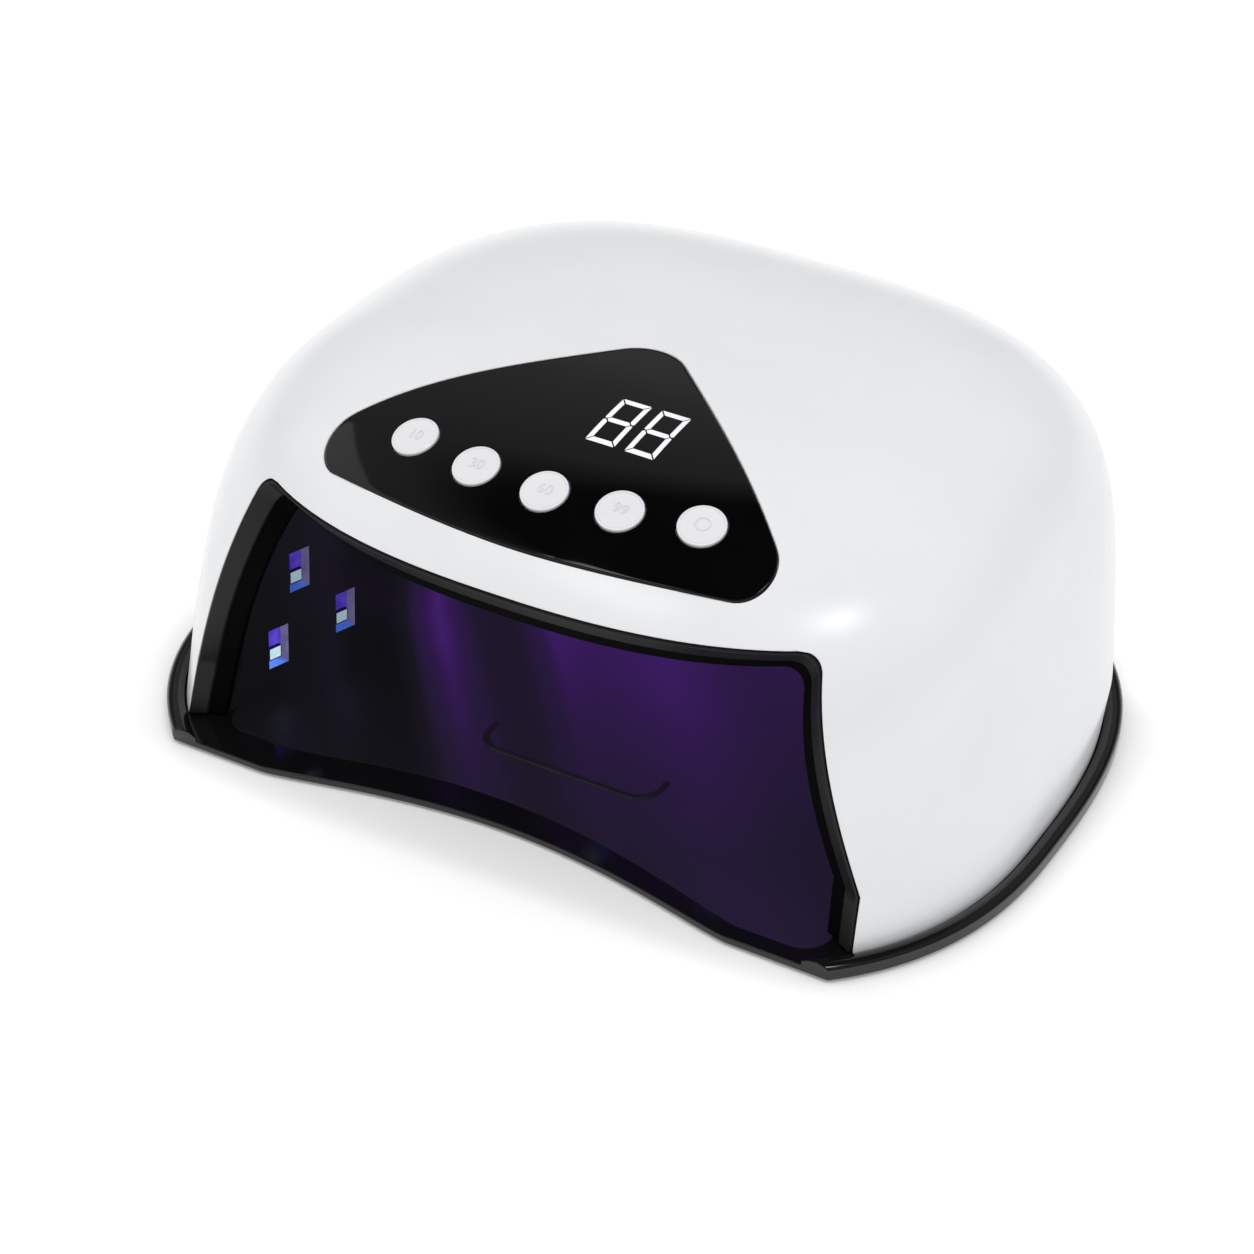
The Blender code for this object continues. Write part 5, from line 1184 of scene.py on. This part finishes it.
def build_tray():
    """Base with a rounded bead round three sides and a scooped, softly edged front."""
    foot = FLOOR_Z + BEAD_SHOULDER
    profile = [(0.0, FOOT_PROUD), (0.0, (FOOT_PROUD + foot) / 2)]
    turns = np.linspace(0, math.pi, 25)
    across = np.sign(np.cos(turns)) * np.abs(np.cos(turns)) ** (2 / BEAD_POWER)
    profile += [(BEAD_WIDTH / 2 * (1 - c), foot + (BEAD_Z - foot) * s)
                for c, s in zip(across, np.abs(np.sin(turns)) ** (2 / BEAD_POWER))]
    profile.append((BEAD_WIDTH, FLOOR_Z))
    lines = np.array([np.column_stack((rim_path(inset), np.full(RIM_COLUMNS + 1, z))) for inset, z in profile])
    front = []
    for end, z in ((lines[0][0], FOOT_PROUD), (lines[-1][0], FLOOR_Z)):
        scoop = np.linspace(-SCOOP_HALF, SCOOP_HALF, 97)
        x = np.concatenate((np.linspace(-end[0], -SCOOP_HALF, 9)[:-1], scoop, np.linspace(SCOOP_HALF, end[0], 9)[1:]))
        front.append(np.column_stack((x, front_edge(x), np.full(len(x), z))))
    tray = close_holes(joined("tray_base", [sheet(lines), sheet(front)]))
    pocket = prism("pocket", grown(reflector_outline(), SEAT_GAP), FLOOR_Z - REFLECTOR_THICKNESS - SEAT_GAP,
                   FLOOR_Z + 0.002)
    cut(tray, pocket)
    for side in ("left", "right"):
        low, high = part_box(f"keeper_{side}")
        cut(tray, disc_seat(low, high, low[2] - SEAT_GAP, high[2] + 0.002))
    rounded_edges(tray, 0.00035, 3, 50)
    dress(tray, FINISH["polished_black_abs"], "tray", "satin_black_abs", "base_tray")


def build_reflector():
    """Glossy plate with its finger stop, a low half-round bar bent to a U."""
    plate = prism("reflector_plate", reflector_outline(), FLOOR_Z - REFLECTOR_THICKNESS, FLOOR_Z)
    rounded_edges(plate, 0.0001, 2, 50)
    dress(plate, FINISH["dark_mirror_film"], "tray", "dark_mirror_film", "tray_reflector")
    half = (RIDGE_WIDTH - RIDGE_THICKNESS) / 2
    front = FRONT_Y + RIDGE_SETBACK + RIDGE_THICKNESS / 2
    back = FRONT_Y + RIDGE_SETBACK + RIDGE_DEPTH
    bend = RIDGE_RADIUS - RIDGE_THICKNESS / 2
    line = rounded([(-half, back), (-half, front), (half, front), (half, back)], (0, bend, bend, 0))
    along = np.gradient(line, axis=0)
    along /= np.linalg.norm(along, axis=1)[:, None]
    aside = np.column_stack((along[:, 1], -along[:, 0]))
    sections = []
    for point, side in zip(line, aside):
        arc = [(math.cos(t) * RIDGE_THICKNESS / 2, math.sin(t) * RIDGE_HEIGHT) for t in np.linspace(0, math.pi, 13)]
        sections.append([(*(point + side * out), FLOOR_Z + up) for out, up in arc])
    stop = loft("finger_stop", sections)
    take(stop)
    bpy.ops.object.shade_smooth_by_angle(angle=math.radians(40))
    dress(stop, FINISH["finger_stop_film"], "tray", "dark_mirror_film", "tray_reflector")


def build_feet():
    """Rubber foot with a rounded rim, turned once and copied."""
    radius = FOOT_DIAMETER / 2
    foot = turned("foot", [(0, 0), (radius, 0), (radius, FOOT_THICKNESS), (0, FOOT_THICKNESS)], 64)
    rounded_edges(foot, 0.0004, 4, 40)
    for name in ("front_left", "front_right", "rear_left", "rear_right"):
        low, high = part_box(f"foot_{name}")
        middle = ((low[0] + high[0]) / 2, (low[1] + high[1]) / 2, 0)
        piece = put(copied(foot, f"rubber_foot_{name}"), Matrix.Translation(middle))
        dress(piece, FINISH["black_rubber"], "tray", "black_rubber", f"foot_{name}")
    bpy.data.objects.remove(foot)


def dress_solids():
    """Finishes of the solids that stay as they are."""
    slots = {"keeper": "zinc_plated_steel", "screw": "zinc_plated_steel", "magnet": "nickel_plated_magnet",
             "led_board": "white_circuit_board", "control_board": "green_circuit_board",
             "switch": "switch_nylon", "display_module": "gloss_black_acrylic"}
    for name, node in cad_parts.items():
        for start, slot in slots.items():
            if name.startswith(start):
                for place in node.material_slots:
                    place.material = FINISH[slot]


# Studio

def area_lamp(name, azimuth, elevation, distance, size, radiance, mirrored):
    """Soft box that faces the lamp; its brightness is given as what a mirror would show of it."""
    light = bpy.data.lights.new(name, "AREA")
    light.shape = "RECTANGLE"
    light.size, light.size_y = size
    light.energy = radiance * math.pi * size[0] * size[1]
    lamp = bpy.data.objects.new(name, light)
    bpy.context.scene.collection.objects.link(lamp)
    turn, tilt = math.radians(azimuth), math.radians(elevation)
    away = Vector((math.sin(turn) * math.cos(tilt), -math.cos(turn) * math.cos(tilt), math.sin(tilt)))
    lamp.location = away * distance + Vector((0, 0, 0.05))
    lamp.rotation_euler = away.to_track_quat("Z", "Y").to_euler()
    lamp.visible_glossy = mirrored


def build_studio():
    scene = bpy.context.scene
    scene.view_settings.view_transform = "Standard"

    # Reflections show white at eye level, a broad pale wall above it and a dark ceiling; an even
    # level of light falls on the object.
    world = bpy.data.worlds.new("studio")
    scene.world = world
    world.use_nodes = True
    sky = world.node_tree.nodes["Background"]
    sky.inputs["Color"].default_value = linear("#FFFFFF")
    path = add_node(world, "ShaderNodeLightPath")
    mirrored = add_node(world, "ShaderNodeMath", {"operation": "MAXIMUM"},
                        {0: path.outputs["Is Glossy Ray"], 1: path.outputs["Is Transmission Ray"]})
    place = add_node(world, "ShaderNodeTexCoord")
    split = add_node(world, "ShaderNodeSeparateXYZ", links={"Vector": place.outputs["Generated"]})
    height = add_node(world, "ShaderNodeMapRange", {"From Max": MIRROR_SKY[-1][0]}, {"Value": split.outputs["Z"]})
    walls = add_node(world, "ShaderNodeValToRGB", {"stops": greys(MIRROR_SKY)}, {"Fac": height.outputs["Result"]})
    level = add_node(world, "ShaderNodeMix", {"data_type": "FLOAT", 2: WORLD_LEVEL},
                     {0: mirrored.outputs["Value"], 3: walls.outputs["Color"]})
    seen = add_node(world, "ShaderNodeMix", {"data_type": "FLOAT", 3: 1.0},
                    {0: path.outputs["Is Camera Ray"], 2: level.outputs[0]})
    world.node_tree.links.new(seen.outputs[0], sky.inputs["Strength"])

    # Matt white paper sweep, brought up to white by its own glow; the glow is lower in a boxy patch round the lamp,
    # where the soft shadow shows, and that patch's edge is painted shadow.
    paper = bpy.data.materials.new("white_paper")
    paper.use_nodes = True
    shader = paper.node_tree.nodes["Principled BSDF"]
    shader.inputs["Base Color"].default_value = linear("#FAFAFA")
    shader.inputs["Roughness"].default_value = 0.9
    shader.inputs["Specular IOR Level"].default_value = 0.0
    shader.inputs["Emission Color"].default_value = linear("#FFFFFF")
    path = add_node(paper, "ShaderNodeLightPath")
    mirrored = add_node(paper, "ShaderNodeMath", {"operation": "MAXIMUM"},
                        {0: path.outputs["Is Glossy Ray"], 1: path.outputs["Is Transmission Ray"]})
    seen = add_node(paper, "ShaderNodeMath", {"operation": "MAXIMUM"},
                    {0: path.outputs["Is Camera Ray"], 1: mirrored.outputs["Value"]})
    place = add_node(paper, "ShaderNodeTexCoord")
    # Painted shadow: a boxy patch round the lamp in which the paper's glow is lower.
    half, reach = PAINTED_SHADOW_REACH
    share = add_node(paper, "ShaderNodeMapping", {"Location": (0, -RIM_Y / reach, 0), "Scale": (1 / half, 1 / reach, 0)},
                     {"Vector": place.outputs["Object"]}).outputs["Vector"]
    for _ in range(3):
        share = add_node(paper, "ShaderNodeVectorMath", {"operation": "MULTIPLY"}, {0: share, 1: share}).outputs["Vector"]
    away = add_node(paper, "ShaderNodeVectorMath", {"operation": "DOT_PRODUCT", 1: (1, 1, 0)}, {0: share})
    beside = add_node(paper, "ShaderNodeMapRange", {"interpolation_type": "SMOOTHSTEP", "From Min": PAINTED_SHADOW_EDGE[0] ** 8,
                                                    "From Max": PAINTED_SHADOW_EDGE[1] ** 8, "To Min": FLOOR_LIFT[0],
                                                    "To Max": FLOOR_LIFT[1]}, {"Value": away.outputs["Value"]})
    distance = add_node(paper, "ShaderNodeVectorMath", {"operation": "LENGTH"}, {0: place.outputs["Object"]})
    far = add_node(paper, "ShaderNodeMapRange", {"From Min": FAR_FLOOR[0], "From Max": FAR_FLOOR[1], "To Max": FAR_LIFT},
                   {"Value": distance.outputs["Value"]})
    glow = add_node(paper, "ShaderNodeMath", {"operation": "ADD"}, {0: beside.outputs["Result"], 1: far.outputs["Result"]})
    lift = add_node(paper, "ShaderNodeMath", {"operation": "MULTIPLY"},
                    {0: seen.outputs["Value"], 1: glow.outputs["Value"]})
    paper.node_tree.links.new(lift.outputs["Value"], shader.inputs["Emission Strength"])
    bpy.ops.object.select_all(action="DESELECT")
    bpy.ops.mesh.primitive_circle_add(vertices=96, radius=3.0, fill_type="NGON", location=(0, 0, -0.0001))
    floor = bpy.context.object
    bpy.ops.object.transform_apply(location=True, rotation=True, scale=True)
    floor.name = "paper_floor"
    floor.data.materials.append(paper)

    for name, box in SOFT_BOXES.items():
        area_lamp(name, *box)

    a, e = CAMERA_AZIMUTH, CAMERA_ELEVATION
    right = Vector((math.cos(a), math.sin(a), 0))
    up = Vector((-math.sin(a) * math.sin(e), math.cos(a) * math.sin(e), math.cos(e)))
    back = Vector((math.sin(a) * math.cos(e), -math.cos(a) * math.cos(e), math.sin(e)))
    eye = bpy.data.cameras.new("camera")
    eye.lens, eye.sensor_width, eye.sensor_fit = CAMERA_LENS, 36, "HORIZONTAL"
    camera = bpy.data.objects.new("camera", eye)
    scene.collection.objects.link(camera)
    camera.matrix_world = axes(Vector(CAMERA_PLACE), right, up, back)
    scene.camera = camera


build_tray()
build_reflector()
build_feet()
build_shell()
build_bezel()
build_liner()
build_flange()
build_leds()
build_sensor()
build_panel()
build_digits()
build_buttons()
build_jack()
dress_solids()
build_studio()
